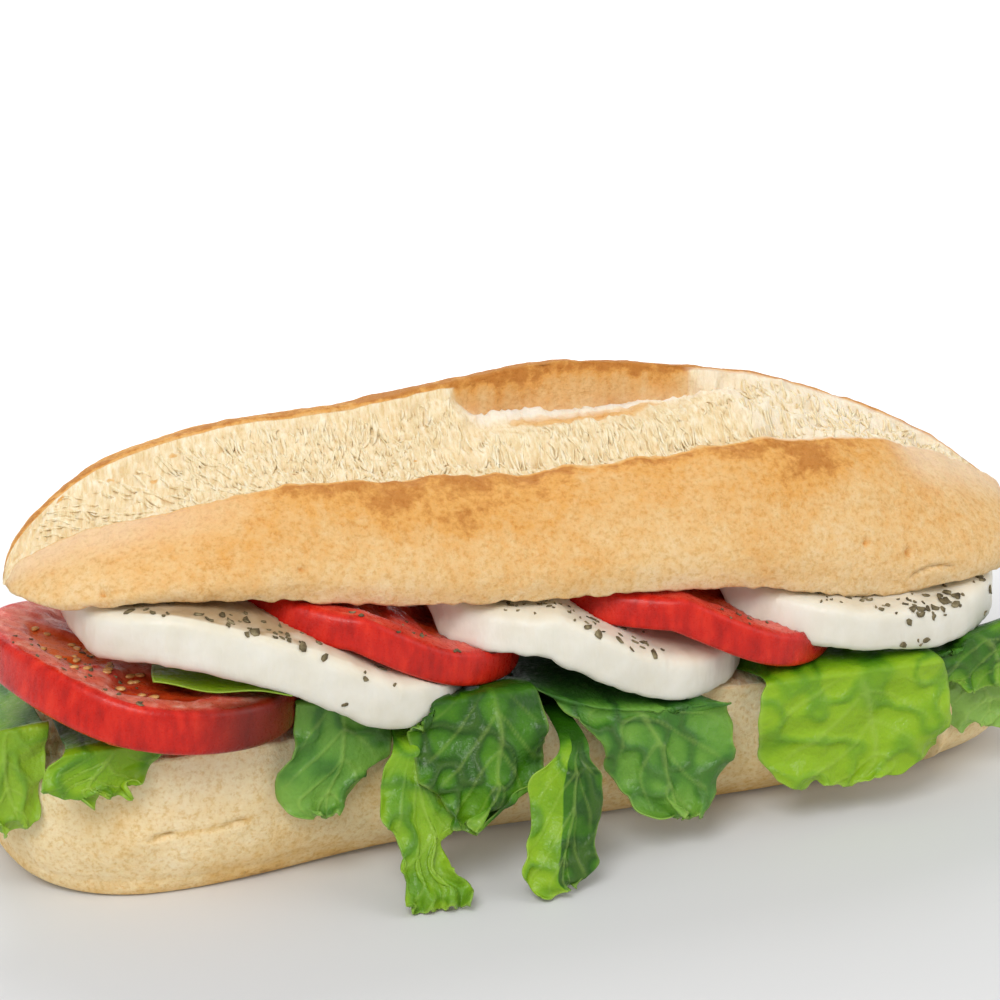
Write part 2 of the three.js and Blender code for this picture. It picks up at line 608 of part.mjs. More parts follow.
// Closed thin sheet round a surface, with both faces split into triangles alike
function sheet(pointAt, rows, columns, thickness, grow) {
  const vertices = [];
  const triangles = [];
  const nudge = 0.01; // share of the sheet that its normals are taken over
  const count = (rows + 1) * (columns + 1);
  for (const side of [1, -1]) {
    for (let i = 0; i <= rows; i++) {
      for (let j = 0; j <= columns; j++) {
        const [a, t] = [j / columns, i / rows];
        const alongLeaf = pointAt(a, Math.min(1, t + nudge)).sub(pointAt(a, Math.max(0, t - nudge)));
        const acrossLeaf = pointAt(Math.min(1, a + nudge), t).sub(pointAt(Math.max(0, a - nudge), t));
        const normal = new THREE.Vector3().crossVectors(acrossLeaf, alongLeaf).normalize();
        const middle = pointAt(a, t);
        const outward = new THREE.Vector3();
        if (j === 0) outward.sub(acrossLeaf.clone().normalize());
        if (j === columns) outward.add(acrossLeaf.clone().normalize());
        if (i === 0) outward.sub(alongLeaf.clone().normalize());
        if (i === rows) outward.add(alongLeaf.clone().normalize());
        middle.addScaledVector(outward, grow);
        middle.addScaledVector(normal, side * (thickness / 2 + grow));
        vertices.push(middle.x, middle.y, middle.z);
      }
    }
  }
  const at = (i, j, face) => face * count + i * (columns + 1) + j;
  const quad = (a, b, c, d, flip) => triangles.push(...(flip ? [a, c, b, a, d, c] : [a, b, c, a, c, d]));
  for (let i = 0; i < rows; i++) {
    for (let j = 0; j < columns; j++) {
      for (const face of [0, 1]) {
        quad(at(i, j, face), at(i, j + 1, face), at(i + 1, j + 1, face), at(i + 1, j, face), face === 1);
      }
    }
  }
  for (let i = 0; i < rows; i++) {
    quad(at(i, 0, 0), at(i + 1, 0, 0), at(i + 1, 0, 1), at(i, 0, 1), false);
    quad(at(i, columns, 0), at(i + 1, columns, 0), at(i + 1, columns, 1), at(i, columns, 1), true);
  }
  for (let j = 0; j < columns; j++) {
    quad(at(0, j, 0), at(0, j + 1, 0), at(0, j + 1, 1), at(0, j, 1), true);
    quad(at(rows, j, 0), at(rows, j + 1, 0), at(rows, j + 1, 1), at(rows, j, 1), false);
  }
  const geometry = new THREE.BufferGeometry();
  geometry.setAttribute('position', new THREE.Float32BufferAttribute(vertices, 3));
  geometry.setIndex(new THREE.BufferAttribute(new Uint32Array(triangles), 1));
  return facingOut(geometry);
}

function leafSolid(leaf, grow) {
  const place = leaf.on ? tuckedPoint : leafPoint;
  const rows = leaf.on ? LEAF_COLUMNS : LEAF_ROWS;
  return toManifold(sheet((a, t) => place(leaf, a, t), rows, LEAF_COLUMNS, LEAF_THICKNESS, grow));
}

// The biggest connected piece that is left of a solid after others have been pressed into it
function biggest(solid) {
  const pieces = solid.decompose();
  return pieces.reduce((a, b) => (a.volume() > b.volume() ? a : b));
}

const leaves = [...LEAVES, TUCKED_LEAF].map((leaf) => ({
  ...leaf,
  solid: leafSolid(leaf, 0),
  room: leafSolid(leaf, GAP),
}));
const slices = SLICES.map((slice) => ({
  ...slice,
  solid: toManifold(sliceGeometry(slice)),
  room: toManifold(sliceGeometry(slice, GAP)),
}));

slices.forEach((slice, i) => {
  for (const over of slices.slice(i + 1)) slice.solid = slice.solid.subtract(over.room);
  for (const leaf of leaves) slice.solid = slice.solid.subtract(leaf.room);
  slice.solid = biggest(slice.solid);
  for (const flake of flakeSolids(slice)) slice.solid = slice.solid.add(flake);
});

let base = toManifold(loafHalf(BASE.rings, BASE.sides, baseSection));
let crown = toManifold(loafHalf(CROWN.rings, CROWN.sides, crownSection));
for (const piece of [...slices, ...leaves]) {
  base = base.subtract(piece.room);
  crown = crown.subtract(piece.room);
}

const sandwich = new THREE.Group();
sandwich.add(toMesh('bun_bottom', biggest(base), CRUST));
sandwich.add(toMesh('bun_top', biggest(crown), CRUST));
for (const slice of slices) {
  sandwich.add(toMesh(slice.name, slice.solid, slice.kind === 'tomato' ? TOMATO : CHEESE));
}
for (const leaf of leaves) {
  sandwich.add(toMesh(leaf.name, leaf.solid, LETTUCE));
}

export default sandwich;
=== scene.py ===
import math
from types import SimpleNamespace

import bpy
import numpy as np
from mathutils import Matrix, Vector
from mathutils.bvhtree import BVHTree


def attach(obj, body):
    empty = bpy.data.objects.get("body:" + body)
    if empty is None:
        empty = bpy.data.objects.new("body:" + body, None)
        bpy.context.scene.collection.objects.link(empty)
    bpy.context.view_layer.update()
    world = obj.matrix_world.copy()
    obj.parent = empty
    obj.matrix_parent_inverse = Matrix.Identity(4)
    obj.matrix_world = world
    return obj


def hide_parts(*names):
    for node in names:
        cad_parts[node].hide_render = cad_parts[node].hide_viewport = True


# The looks of a submarine sandwich. Shapes are worked out in millimetres with the formulas of the
# CAD part, on finer grids and with the relief of crust, crumb, cheese and leaves, and are then
# scaled to metres. X runs along the loaf, the well filled front faces -Y and +Z is up.

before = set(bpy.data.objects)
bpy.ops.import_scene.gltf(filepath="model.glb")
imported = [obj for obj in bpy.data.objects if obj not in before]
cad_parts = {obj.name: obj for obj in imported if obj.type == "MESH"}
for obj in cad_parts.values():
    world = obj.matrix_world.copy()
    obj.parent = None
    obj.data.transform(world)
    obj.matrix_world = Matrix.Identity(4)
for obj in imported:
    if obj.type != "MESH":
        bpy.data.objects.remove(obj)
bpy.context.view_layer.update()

MM = 0.001
GAP = 0.3
CAD_GAP = 0.35
TOP = 200.0  # above everything
BOTTOM = -20.0  # below everything
MISSING = 1e4

BASE = {"left": -121, "right": 112, "half_width": 35.5, "bluntness": 8, "tip_height": 12, "crown": 1.6}
CROWN = {
    "left": -116, "right": 113, "half_width": 36.5, "bluntness": 6, "left_bluntness": 3.8,
    "left_tip_height": 1.5, "tip_height": 3.5, "back_drop": 4,
}
TOMATO_THICKNESS = 7.4
CHEESE_THICKNESS = 10.0
LEAF_THICKNESS = 0.5
LEAF_CLEARANCE = 1.1
LEAF_STEP = 1.25
LEAST_LEAF_HEIGHT = 0.8


# Curves and fields


def through(values):
    """Smooth curve through values spaced evenly from 0 to 1."""
    values = np.asarray(values, float)
    last = len(values) - 1

    def curve(s):
        at = np.clip(s, 0, 1) * last
        i = np.minimum(last - 1, np.floor(at)).astype(int)
        f = at - i
        a, b, c, d = (values[np.clip(i + k, 0, last)] for k in (-1, 0, 1, 2))
        return b + 0.5 * f * (c - a + f * (2 * a - 5 * b + 4 * c - d + f * (3 * (b - c) + d - a)))

    return curve


def mix(a, b, f):
    return a + (b - a) * f


def step(low, high, value):
    f = unit((value - low) / (high - low))
    return f * f * (3 - 2 * f)


def span(value, start, full, fade, end):
    """1 from full to fade and 0 before start and past end, with soft sides."""
    return step(start, full, value) * (1 - step(fade, end, value))


def unit(value):
    return np.clip(value, 0, 1)


def bell(distance, width):
    return np.exp(-((distance / width) ** 2))


def signed_power(value, power):
    return np.sign(value) * np.abs(value) ** power


# Each wave's height, its turns for a mm of x and of y, and its share of the phase
WOBBLE_WAVES = ((0.5, 0.071, 0.113, 1.0), (0.3, 0.163, -0.097, 2.1), (0.2, 0.31, 0.23, 3.7))


def wobble(x, y, phase):
    """Slow uneven wobble between about -1 and 1."""
    return sum(size * np.sin(a * x + b * y + c * phase) for size, a, b, c in WOBBLE_WAVES)


def blunt_end(s, bluntness):
    return np.sqrt(np.maximum(0, 1 - np.abs(2 * s - 1) ** bluntness))


# Whole numbers that scatter the corners of a noise field's cells
HASH_FACTORS = (73856093, 19349663, 83492791)
HASH_SEED = 6700417
HASH_ROUNDS = ((13, 1274126177), (15, 2246822519))
HASH_BITS = 0x7FFFFFFF


def noise(points, scale, seed=0):
    """Smooth random field between -1 and 1, with features about scale mm wide."""
    q = points / np.asarray(scale, float)
    cell = np.floor(q).astype(np.int64)
    f = q - cell
    f = f * f * (3 - 2 * f)
    total = np.zeros(points.shape[:-1])
    for corner in np.ndindex(2, 2, 2):
        c = cell + np.array(corner)
        mixed = (seed + 7) * HASH_SEED
        for axis, factor in enumerate(HASH_FACTORS):
            mixed = mixed ^ c[..., axis] * factor
        for shift, factor in HASH_ROUNDS:
            mixed = ((mixed ^ (mixed >> shift)) * factor) & HASH_BITS
        value = (mixed & 0xFFFF) / 32767.5 - 1
        weight = np.prod(np.where(np.array(corner) == 1, f, 1 - f), axis=-1)
        total += value * weight
    return total


def fractal(points, scale, octaves, seed=0):
    scale = np.asarray(scale, float)
    return sum(noise(points, scale / 2**k, seed + k) * 0.5**k for k in range(octaves))


def stack(x, y, z):
    return np.stack(np.broadcast_arrays(x, y, z), axis=-1).astype(float)


# Meshes


def grid_faces(rows, columns, start=0, wrap=False):
    """Quads between the points of a grid that is stored row by row."""
    across = columns if wrap else columns - 1
    i, j = np.meshgrid(np.arange(rows - 1), np.arange(across), indexing="ij")
    k = (j + 1) % columns
    row, next_row = i * columns, (i + 1) * columns
    faces = np.stack([row + j, row + k, next_row + k, next_row + j], -1)
    return (faces.reshape(-1, 4) + start).tolist()


def unit_vectors(vectors):
    return vectors / np.maximum(np.linalg.norm(vectors, axis=-1, keepdims=True), 1e-9)


def grid_normals(points, wrap=False):
    """Unit normals of a grid of points."""
    along = np.gradient(points, axis=0)
    if wrap:
        across = np.roll(points, -1, 1) - np.roll(points, 1, 1)
    else:
        across = np.gradient(points, axis=1)
    return unit_vectors(np.cross(across, along))


def slice_normals(points):
    """Outward unit normals of a slice, whose rings after the rim face up."""
    normals = grid_normals(points, wrap=True)
    return normals * np.sign(np.sum(normals[-FACE_RINGS // 2, :, 2]))


def placed(name, data):
    """New object in the scene."""
    made = bpy.data.objects.new(name, data)
    bpy.context.scene.collection.objects.link(made)
    return made


def make_piece(name, points, faces, material, slot, node=None, masks=None):
    """Mesh object from points in mm, riding on the one body of the part."""
    mesh = bpy.data.meshes.new(name)
    mesh.from_pydata((np.asarray(points).reshape(-1, 3) * MM).tolist(), [], faces)
    for key, values in (masks or {}).items():
        layer = mesh.attributes.new(key, "FLOAT", "POINT")
        layer.data.foreach_set("value", np.asarray(values, np.float32).ravel())
    mesh.polygons.foreach_set("use_smooth", [True] * len(mesh.polygons))
    if signed_volume(mesh) < 0:
        mesh.flip_normals()
    mesh.update()
    mesh.materials.append(material)
    piece = placed(name, mesh)
    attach(piece, "root")
    if node:
        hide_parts(node)


def signed_volume(mesh):
    mesh.calc_loop_triangles()
    corners = np.zeros(len(mesh.loop_triangles) * 3, np.int32)
    mesh.loop_triangles.foreach_get("vertices", corners)
    places = np.zeros(len(mesh.vertices) * 3)
    mesh.vertices.foreach_get("co", places)
    a, b, c = places.reshape(-1, 3)[corners.reshape(-1, 3)].transpose(1, 0, 2)
    return float(np.einsum("ij,ij->", a, np.cross(b, c))) / 6


def closed_rings(rings, masks):
    """Points, faces and masks of a skin of rings whose first and last ring are one point each."""
    count, sides = rings.shape[:2]
    inner = rings[1:-1].reshape(-1, 3)
    points = np.vstack([rings[0].mean(0), inner, rings[-1].mean(0)])
    faces = grid_faces(count - 2, sides, start=1, wrap=True)
    last = len(points) - 1
    row = last - sides
    for j in range(sides):
        k = (j + 1) % sides
        faces.append([0, 1 + k, 1 + j])
        faces.append([last, row + j, row + k])
    joined = {
        key: np.concatenate([[value[0].mean()], value[1:-1].ravel(), [value[-1].mean()]])
        for key, value in masks.items()
    }
    return points, faces, joined


def joined(shapes):
    """Points and faces of many small shapes in one mesh."""
    all_points, all_faces, start = [], [], 0
    for points, faces in shapes:
        all_points.append(points)
        all_faces += [[i + start for i in face] for face in faces]
        start += len(points)
    return np.vstack(all_points), all_faces


class Heights:
    """Heights of some skins over a fine square grid, seen from below or from above."""

    PITCH = 1.0
    X = np.arange(-134.0, 122.0, PITCH)
    Y = np.arange(-70.0, 50.0, PITCH)

    def __init__(self, trees, from_below):
        self.sign = 1.0 if from_below else -1.0
        start = BOTTOM if from_below else TOP
        self.z = np.full((len(self.X), len(self.Y)), MISSING)
        for tree in trees:
            for i, x in enumerate(self.X):
                for j, y in enumerate(self.Y):
                    hit = tree.ray_cast(Vector((x, y, start)), Vector((0, 0, self.sign)))
                    if hit[0] is not None:
                        self.z[i, j] = min(self.z[i, j], self.sign * hit[0].z)

    def __call__(self, x, y):
        """Height of the nearest skin, or a far one where there is none."""
        at_x = np.clip((x - self.X[0]) / self.PITCH, 0, len(self.X) - 1.001)
        at_y = np.clip((y - self.Y[0]) / self.PITCH, 0, len(self.Y) - 1.001)
        i, j = np.floor(at_x).astype(int), np.floor(at_y).astype(int)
        f, g = at_x - i, at_y - j
        corners = [self.z[i, j], self.z[i + 1, j], self.z[i, j + 1], self.z[i + 1, j + 1]]
        weights = [(1 - f) * (1 - g), f * (1 - g), (1 - f) * g, f * g]
        smooth = sum(c * w for c, w in zip(corners, weights))
        lowest = np.minimum.reduce(corners)
        whole = np.maximum.reduce(corners) < MISSING
        return self.sign * np.where(whole, smooth, lowest)


def tree_of(points, faces):
    return BVHTree.FromPolygons([Vector(p) for p in np.asarray(points).reshape(-1, 3).tolist()], faces)


# Bottom half of the loaf

UNEVEN_WIDTH = 0.012
base_middle = through([-4, -4, -3, -2.5, -2.5, -3.5, -4, -3])
base_cut = through([28, 31.5, 31.6, 30.8, 30.4, 29.8, 28.6, 27, 24])
base_foot = through([28, 30, 27, 22, 21, 23, 23, 21, 19, 17])


def base_share(x):
    return (x - BASE["left"]) / (BASE["right"] - BASE["left"])


def base_width(s):
    return BASE["half_width"] * blunt_end(s, BASE["bluntness"]) * (1 + UNEVEN_WIDTH * np.sin(17 * s))


def base_top(x, y):
    s = base_share(x)
    across = np.minimum(1, np.abs(y - base_middle(s)) / np.maximum(1, base_width(s)))
    return base_cut(s) + BASE["crown"] * (1 - across**2)


# Top half of the loaf

crown_cut = through([62, 64.2, 61.6, 57.6, 55.5, 54.3, 51.5, 46.3, 45.2, 44.5])
crown_middle = through([-16, -9, -4.5, -3.5, -3.5, -3.5, -3.5, -3.5, -4])
front_lip_y = through([-16, -23, -26, -25, -24, -24, -23, -21, -14, -6])
front_lip_z = through([77, 79.5, 81.4, 79.2, 77, 76.6, 77.6, 76.5, 71.5, 66])
back_lip_y = through([2, 9, 12, 13, 15, 16, 17, 17, 13, 4])
back_lip_z = through([80, 83.5, 84.6, 83.8, 85.4, 87.4, 84.2, 80, 74.5, 69])
SCORE_WIDTH = 36
BRIDGE = {"x": -24, "slant": 0.7, "width": 7, "depth": 0.6, "hold": 0.7}
SECOND_SCORE = (-16, -8, 44, 66)
VALLEY = {"depth": 3.6, "fullness": 0.7}
FLOOR_HEIGHT = 0.5
MOUND = {"at": 0.45, "width": 0.2, "height": 2.2}
DITCH = {"at": 0.12, "width": 0.1, "depth": 1.8}
WALL_FOOT = {"at": 0.82, "width": 0.12, "left": 1.2, "right": 3.2, "length": 40}
WALL_SHARE = 0.86
TROUGH_WIDTH = 38.0


def crown_share(x):
    return (x - CROWN["left"]) / (CROWN["right"] - CROWN["left"])


def crown_width(s):
    blunt = np.where(s < 0.5, blunt_end(s, CROWN["left_bluntness"]), blunt_end(s, CROWN["bluntness"]))
    return CROWN["half_width"] * blunt * (1 + UNEVEN_WIDTH * np.sin(13 * s + 1))


def second_score(x):
    return span(x, *SECOND_SCORE)


def bridge(x, inside):
    y = SCORE_WIDTH * (inside - 0.5)
    return bell(x - BRIDGE["x"] - BRIDGE["slant"] * y, BRIDGE["width"])


def score_relief(x, inside):
    """Height between the lips, against a straight line from lip to lip."""
    valley = -VALLEY["depth"] * np.sin(np.pi * inside) ** VALLEY["fullness"]
    rise = back_lip_z(crown_share(x)) - front_lip_z(crown_share(x))
    foot_depth = mix(WALL_FOOT["left"], WALL_FOOT["right"], step(0, WALL_FOOT["length"], x))
    foot = foot_depth * bell(inside - WALL_FOOT["at"], WALL_FOOT["width"])
    mound = MOUND["height"] * bell(inside - MOUND["at"], MOUND["width"])
    ditch = DITCH["depth"] * bell(inside - DITCH["at"], DITCH["width"])
    floor = FLOOR_HEIGHT + mound - ditch - foot
    wall = step(WALL_SHARE, 1, inside)
    opened = mix(valley, (floor - rise * inside) * (1 - wall), second_score(x))
    return mix(opened, -BRIDGE["depth"], BRIDGE["hold"] * bridge(x, inside))


# Slices, each a disc that is stretched, bent and laid over the one before it

SLICES = [
    {"name": "tomato_1", "kind": "tomato", "x": -88.2, "y": -18, "rx": 31.5, "ry": 34, "sag": 0,
     "heights": [50, 43.8, 40.4, 38.8], "thickness": 9.2},
    {"name": "mozzarella_1", "kind": "cheese", "x": -64.5, "y": -18, "rx": 40, "ry": 31.5, "sag": 4,
     "heights": [59.4, 57.4, 51.7, 42.2, 41], "square": 2.8, "thickness": 10.8},
    {"name": "tomato_2", "kind": "tomato", "x": -41.5, "y": -13.5, "rx": 32, "ry": 34, "sag": 2,
     "heights": [65, 55.5, 45.5, 41.5]},
    {"name": "mozzarella_2", "kind": "cheese", "x": 2.5, "y": -14, "rx": 38.5, "ry": 35, "sag": 6,
     "heights": [62, 50, 39.5, 36.8]},
    {"name": "tomato_3", "kind": "tomato", "x": 29, "y": -13, "rx": 35, "ry": 34.5, "sag": 3,
     "heights": [60, 50, 41, 38]},
    {"name": "mozzarella_3", "kind": "cheese", "x": 65, "y": -13, "rx": 36, "ry": 34, "sag": 3,
     "heights": [57, 46, 40.5, 41]},
]
THICKNESS = {"tomato": TOMATO_THICKNESS, "cheese": CHEESE_THICKNESS}
PRESS = (-26.0, -34.0)
TILT_REACH = 0.02


def slice_place(cut, u, v, height):
    """Place in the bent slice of a point of the flat disc, with u, v and height as shares."""
    thickness = cut.get("thickness", THICKNESS[cut["kind"]])
    around = np.arctan2(v, u)
    power = cut.get("square", 2)
    corner = (np.abs(np.cos(around)) ** power + np.abs(np.sin(around)) ** power) ** (-1 / power)
    wavy = 1 + 0.02 * np.sin(3 * around + cut["x"]) + 0.012 * np.sin(5 * around + 2 * cut["x"])
    uneven = corner * wavy
    bend = through(cut["heights"])
    share = (u * uneven + 1) / 2
    climb = bend(share + TILT_REACH) - bend(share - TILT_REACH)
    tilt = np.arctan(climb / (4 * TILT_REACH * cut["rx"]))
    sag = cut["sag"] * step(0, 1, share) * np.maximum(0, -v) ** 2
    x = cut["x"] + u * uneven * cut["rx"]
    y = cut["y"] + v * uneven * cut["ry"]
    middle = bend(share) - sag
    highest = crown_cut(crown_share(x)) - thickness / 2 / np.cos(tilt) - CAD_GAP
    held = mix(middle, np.minimum(middle, highest), step(*PRESS, y))
    return stack(x - height * thickness * np.sin(tilt), y, held + height * thickness * np.cos(tilt))


FACE_RINGS = 40
RIM_RINGS = 18
SLICE_SIDES = 190
RIM_SHARE = {"tomato": 0.05, "cheese": 0.10}
RIM_ROUNDING = {"tomato": 0.36, "cheese": 0.38}


def slice_grid(cut):
    """Rings from the middle of the underside round the rim to the middle of the top."""
    rim = RIM_SHARE[cut["kind"]]
    angle = np.linspace(-np.pi / 2, np.pi / 2, RIM_RINGS)
    flat = np.linspace(0, 1 - rim, FACE_RINGS)[:-1]
    radius = np.concatenate([flat, 1 - rim + rim * np.cos(angle), flat[::-1]])
    height = np.concatenate([
        np.full(len(flat), -0.5),
        0.5 * signed_power(np.sin(angle), RIM_ROUNDING[cut["kind"]]),
        np.full(len(flat), 0.5),
    ])
    turn = np.linspace(0, 2 * np.pi, SLICE_SIDES, endpoint=False)
    r, h = radius[:, None], height[:, None]
    u, v = r * np.cos(turn), r * np.sin(turn)
    return slice_place(cut, u, v, h), r + 0 * u, h + 0 * u, turn + 0 * u


# Leaves, each a sheet from behind the loaf, over the cut face and down at the front

TOP_OF_HANG = 36
PATH_PARTS = (0.24, 0.5)
BEND = (0.05, 0.0625)
LEAF_DEFAULTS = {
    "above": 0, "waves": 2, "cool": 0, "rise": (0, 0), "fold": (0.5, 0.2, 0.0), "sides": (0.0, 0.0),
}
LEAVES = [
    {"name": "lettuce_1", "level": 0, "y": -29, "lean": 0.08, "back": (-113, -104),
     "heights": [40, 33, 26, 21, 17], "left": [-127, -129, -129, -127, -122],
     "right": [-111, -112, -113, -114, -116],
     "drop": 12, "ruffle": 1.2, "waves": 2.5, "tone": 1.0, "cool": 0.15},
    {"name": "lettuce_2", "level": 1, "y": -41.5, "lean": 0.15, "back": (-102, -82),
     "heights": [38, 34, 31, 29, 27], "left": [-110, -114, -116, -115, -106],
     "right": [-91, -92, -95, -97, -100], "drop": 9, "ruffle": 1, "tone": 0.7},
    {"name": "lettuce_3", "level": 0, "y": -41.5, "lean": 0.12, "back": (-67, -52),
     "heights": [43, 35, 28, 21, 16.5], "left": [-64, -64.5, -67, -69.5, -62],
     "right": [-45.5, -45, -46, -51.5, -57], "drop": 13, "ruffle": 1.4, "tone": 0.5, "cool": 0.8},
    {"name": "lettuce_4", "level": 1, "above": 1, "y": -44.5, "lean": 0.48, "back": (-50, -43),
     "heights": [34, 27, 20, 14, 8.5, 4, 1], "left": [-43.5, -48.5, -50.4, -48, -47.3, -48.3, -47],
     "right": [-37, -37.5, -36, -35.5, -39, -34, -36],
     "drop": 8, "ruffle": 1.3, "waves": 4, "tone": 0.72, "cool": 0.1},
    {"name": "lettuce_5", "level": 2, "y": -47, "lean": 0.4, "back": (-39, -14),
     "heights": [41, 36, 30, 25, 20, 15], "left": [-37, -41, -42.5, -41.5, -38, -36],
     "right": [-16, -14, -14, -16, -20, -31], "drop": 15, "ruffle": 1.5, "waves": 2.5, "tone": 0.16,
     "fold": (0.62, 0.28, 2.0), "sides": (0.0, -0.1)},
    {"name": "lettuce_6", "level": 0, "above": 2, "y": -50.5, "lean": 0.38, "back": (-13, -8),
     "heights": [29.3, 26, 22, 16, 10, 5, 2], "left": [-10.5, -15.5, -19.5, -20.8, -22, -23.5, -19],
     "right": [-6, -6.5, -5, -5, -7.8, -8.6, -13], "drop": 7, "ruffle": 0.9, "tone": 0.3,
     "fold": (0.42, 0.2, 2.4), "sides": (0.42, -0.2)},
    {"name": "lettuce_7", "level": 1, "above": 1, "y": -44, "lean": 0.27, "back": (-4, 26),
     "heights": [31, 29.5, 27, 22, 16, 11, 7.5], "left": [-15.5, -12.5, -8, -2, 0.5, 7, 14],
     "right": [21, 28, 28.5, 28, 26.5, 22.5, 18.5], "drop": 12, "ruffle": 1.6, "waves": 2.5,
     "rise": (8, 0), "tone": 0.42, "cool": 0.7},
    {"name": "lettuce_8", "level": 2, "y": -46.5, "lean": 0.1, "back": (34, 54),
     "heights": [34.5, 30, 24, 17, 12, 8.5], "left": [37, 34.3, 34, 34.8, 37.5, 44],
     "right": [76, 77.5, 78.2, 77.4, 73.5, 64], "drop": 10, "ruffle": 1.5, "tone": 0.92},
    {"name": "lettuce_9", "level": 1, "above": 1, "y": -41.5, "lean": 0.15, "back": (57, 83),
     "heights": [32.5, 31, 29, 26, 23], "left": [64, 67, 72, 78, 84],
     "right": [99, 103, 105, 104, 99],
     "drop": 14, "ruffle": 1.2, "rise": (0, 8), "tone": 0.35, "cool": 0.2},
    {"name": "lettuce_10", "level": 0, "above": 2, "y": -37.5, "lean": 0.08, "back": (87, 100),
     "heights": [27, 23, 19, 15, 12], "left": [80, 80, 81, 83, 88],
     "right": [97, 102, 104, 102, 97], "drop": 9, "ruffle": 0.8, "tone": 1.45, "cool": 0.9},
]
TUCKED_LEAF = {
    "name": "lettuce_11", "on": "tomato_1", "left": [-82, -85, -89, -93], "right": [-70, -69, -68, -67],
    "front": (-41.5, -48.5), "back": 10, "lift": 0.4, "tone": 1.2,
}
for leaf in (*LEAVES, TUCKED_LEAF):
    for key, value in LEAF_DEFAULTS.items():
        leaf.setdefault(key, value)


def leaf_middle(leaf, across, along):
    """Middle surface of a hanging leaf. across runs from left to right, along from back to tip."""
    before, after = BEND
    out = PATH_PARTS[1]
    f = unit((along - out + before) / (before + after))[..., None]
    turns = (out - before, out, out + after)
    start, corner, end = (leaf_path(leaf, across, 0 * along + at) for at in turns)
    bent = start * (1 - f) ** 2 + corner * 2 * f * (1 - f) + end * f**2
    return np.where((f > 0) & (f < 1), bent, leaf_path(leaf, across, along))


def leaf_path(leaf, across, along):
    """Middle surface before the leaf's bend over the front edge of the cut is rounded."""
    behind, out = PATH_PARTS
    side = 2 * across - 1
    left, right, height = through(leaf["left"]), through(leaf["right"]), through(leaf["heights"])
    phase = leaf["left"][0]
    lift = LEAF_CLEARANCE + leaf["level"] * LEAF_STEP
    rise_left, rise_right = leaf["rise"]
    rise = rise_left * (1 - across) ** 3 + rise_right * across**2

    def top(x, y):
        return leaf_ceiling(x, y) - leaf["above"] * LEAF_STEP

    def rest(x, y):
        return np.minimum(base_top(x, y) + lift, top(x, y))

    down = unit((along - out) / (1 - out))
    z = height(down) + rise * (1 - down)
    edge = np.abs(side) ** 3 * np.sin(2 * np.pi * leaf["waves"] * down + 2.4 * side + phase)
    tip = down**3 * np.sin(5 * across * leaf["waves"] + phase)
    stand = leaf["ruffle"] * (edge + 0.8 * tip) * step(0, 0.35, down)
    x = mix(left(down), right(down), across)
    y = leaf["y"] - leaf["lean"] * (TOP_OF_HANG - z) - stand
    z = np.maximum(LEAST_LEAF_HEIGHT, np.minimum(z + 0.8 * leaf["ruffle"] * tip, top(x, y)))
    front = stack(x, y, z)

    back_left, back_right = leaf["back"]
    depth = np.minimum(along / out, 1)
    middle = mix((back_left + back_right) / 2, (left(0) + right(0)) / 2, depth)
    half_width = mix((back_right - back_left) / 2, (right(0) - left(0)) / 2, depth)
    hang = np.maximum(0, 1 - along / behind)
    lobed = np.sqrt(1 - 0.8 * hang**3) * (1 + 0.06 * np.sin(9 * depth + phase))
    x = middle + half_width * side * lobed
    share = base_share(x)
    edge_y = base_middle(share) + base_width(share) + 2.2 + leaf["level"] * LEAF_STEP
    frill = leaf["ruffle"] * hang * (np.sin(7 * across + phase) + side**2 * np.sin(6 * hang + 3 * side))
    fall = leaf["drop"] * hang**1.4 * (1 + 0.12 * np.sin(8 * across + phase))
    inward = unit((along - behind) / (out - behind))
    y = mix(edge_y + 4 * hang + 0.8 * frill, leaf["y"], inward)
    lying = mix(rest(x, y), np.minimum(height(0) + rise, top(x, y)), inward**6)
    over = stack(x, y, np.where(hang > 0, rest(x, edge_y) - fall, lying))
    return np.where((along >= out)[..., None], front, over)


def tucked_middle(leaf, across, along):
    cut = next(c for c in SLICES if c["name"] == leaf["on"])
    x = mix(through(leaf["left"])(along), through(leaf["right"])(along), across)
    y = mix(leaf["back"], mix(*leaf["front"], across), along)
    under = slice_place(cut, (x - cut["x"]) / cut["rx"], (y - cut["y"]) / cut["ry"], 0.5)
    wave = (0.4 + 0.5 * np.sin(9 * across + 1)) * step(0.75, 1, along)
    return stack(x, y, under[..., 2] + LEAF_CLEARANCE + leaf["lift"] + wave)


# Materials


def add_node(tree, kind, inputs=None, **settings):
    made = tree.nodes.new(kind)
    for key, value in settings.items():
        setattr(made, key, value)
    for key, value in (inputs or {}).items():
        if isinstance(value, bpy.types.NodeSocket):
            tree.links.new(value, made.inputs[key])
        else:
            made.inputs[key].default_value = value
    return made


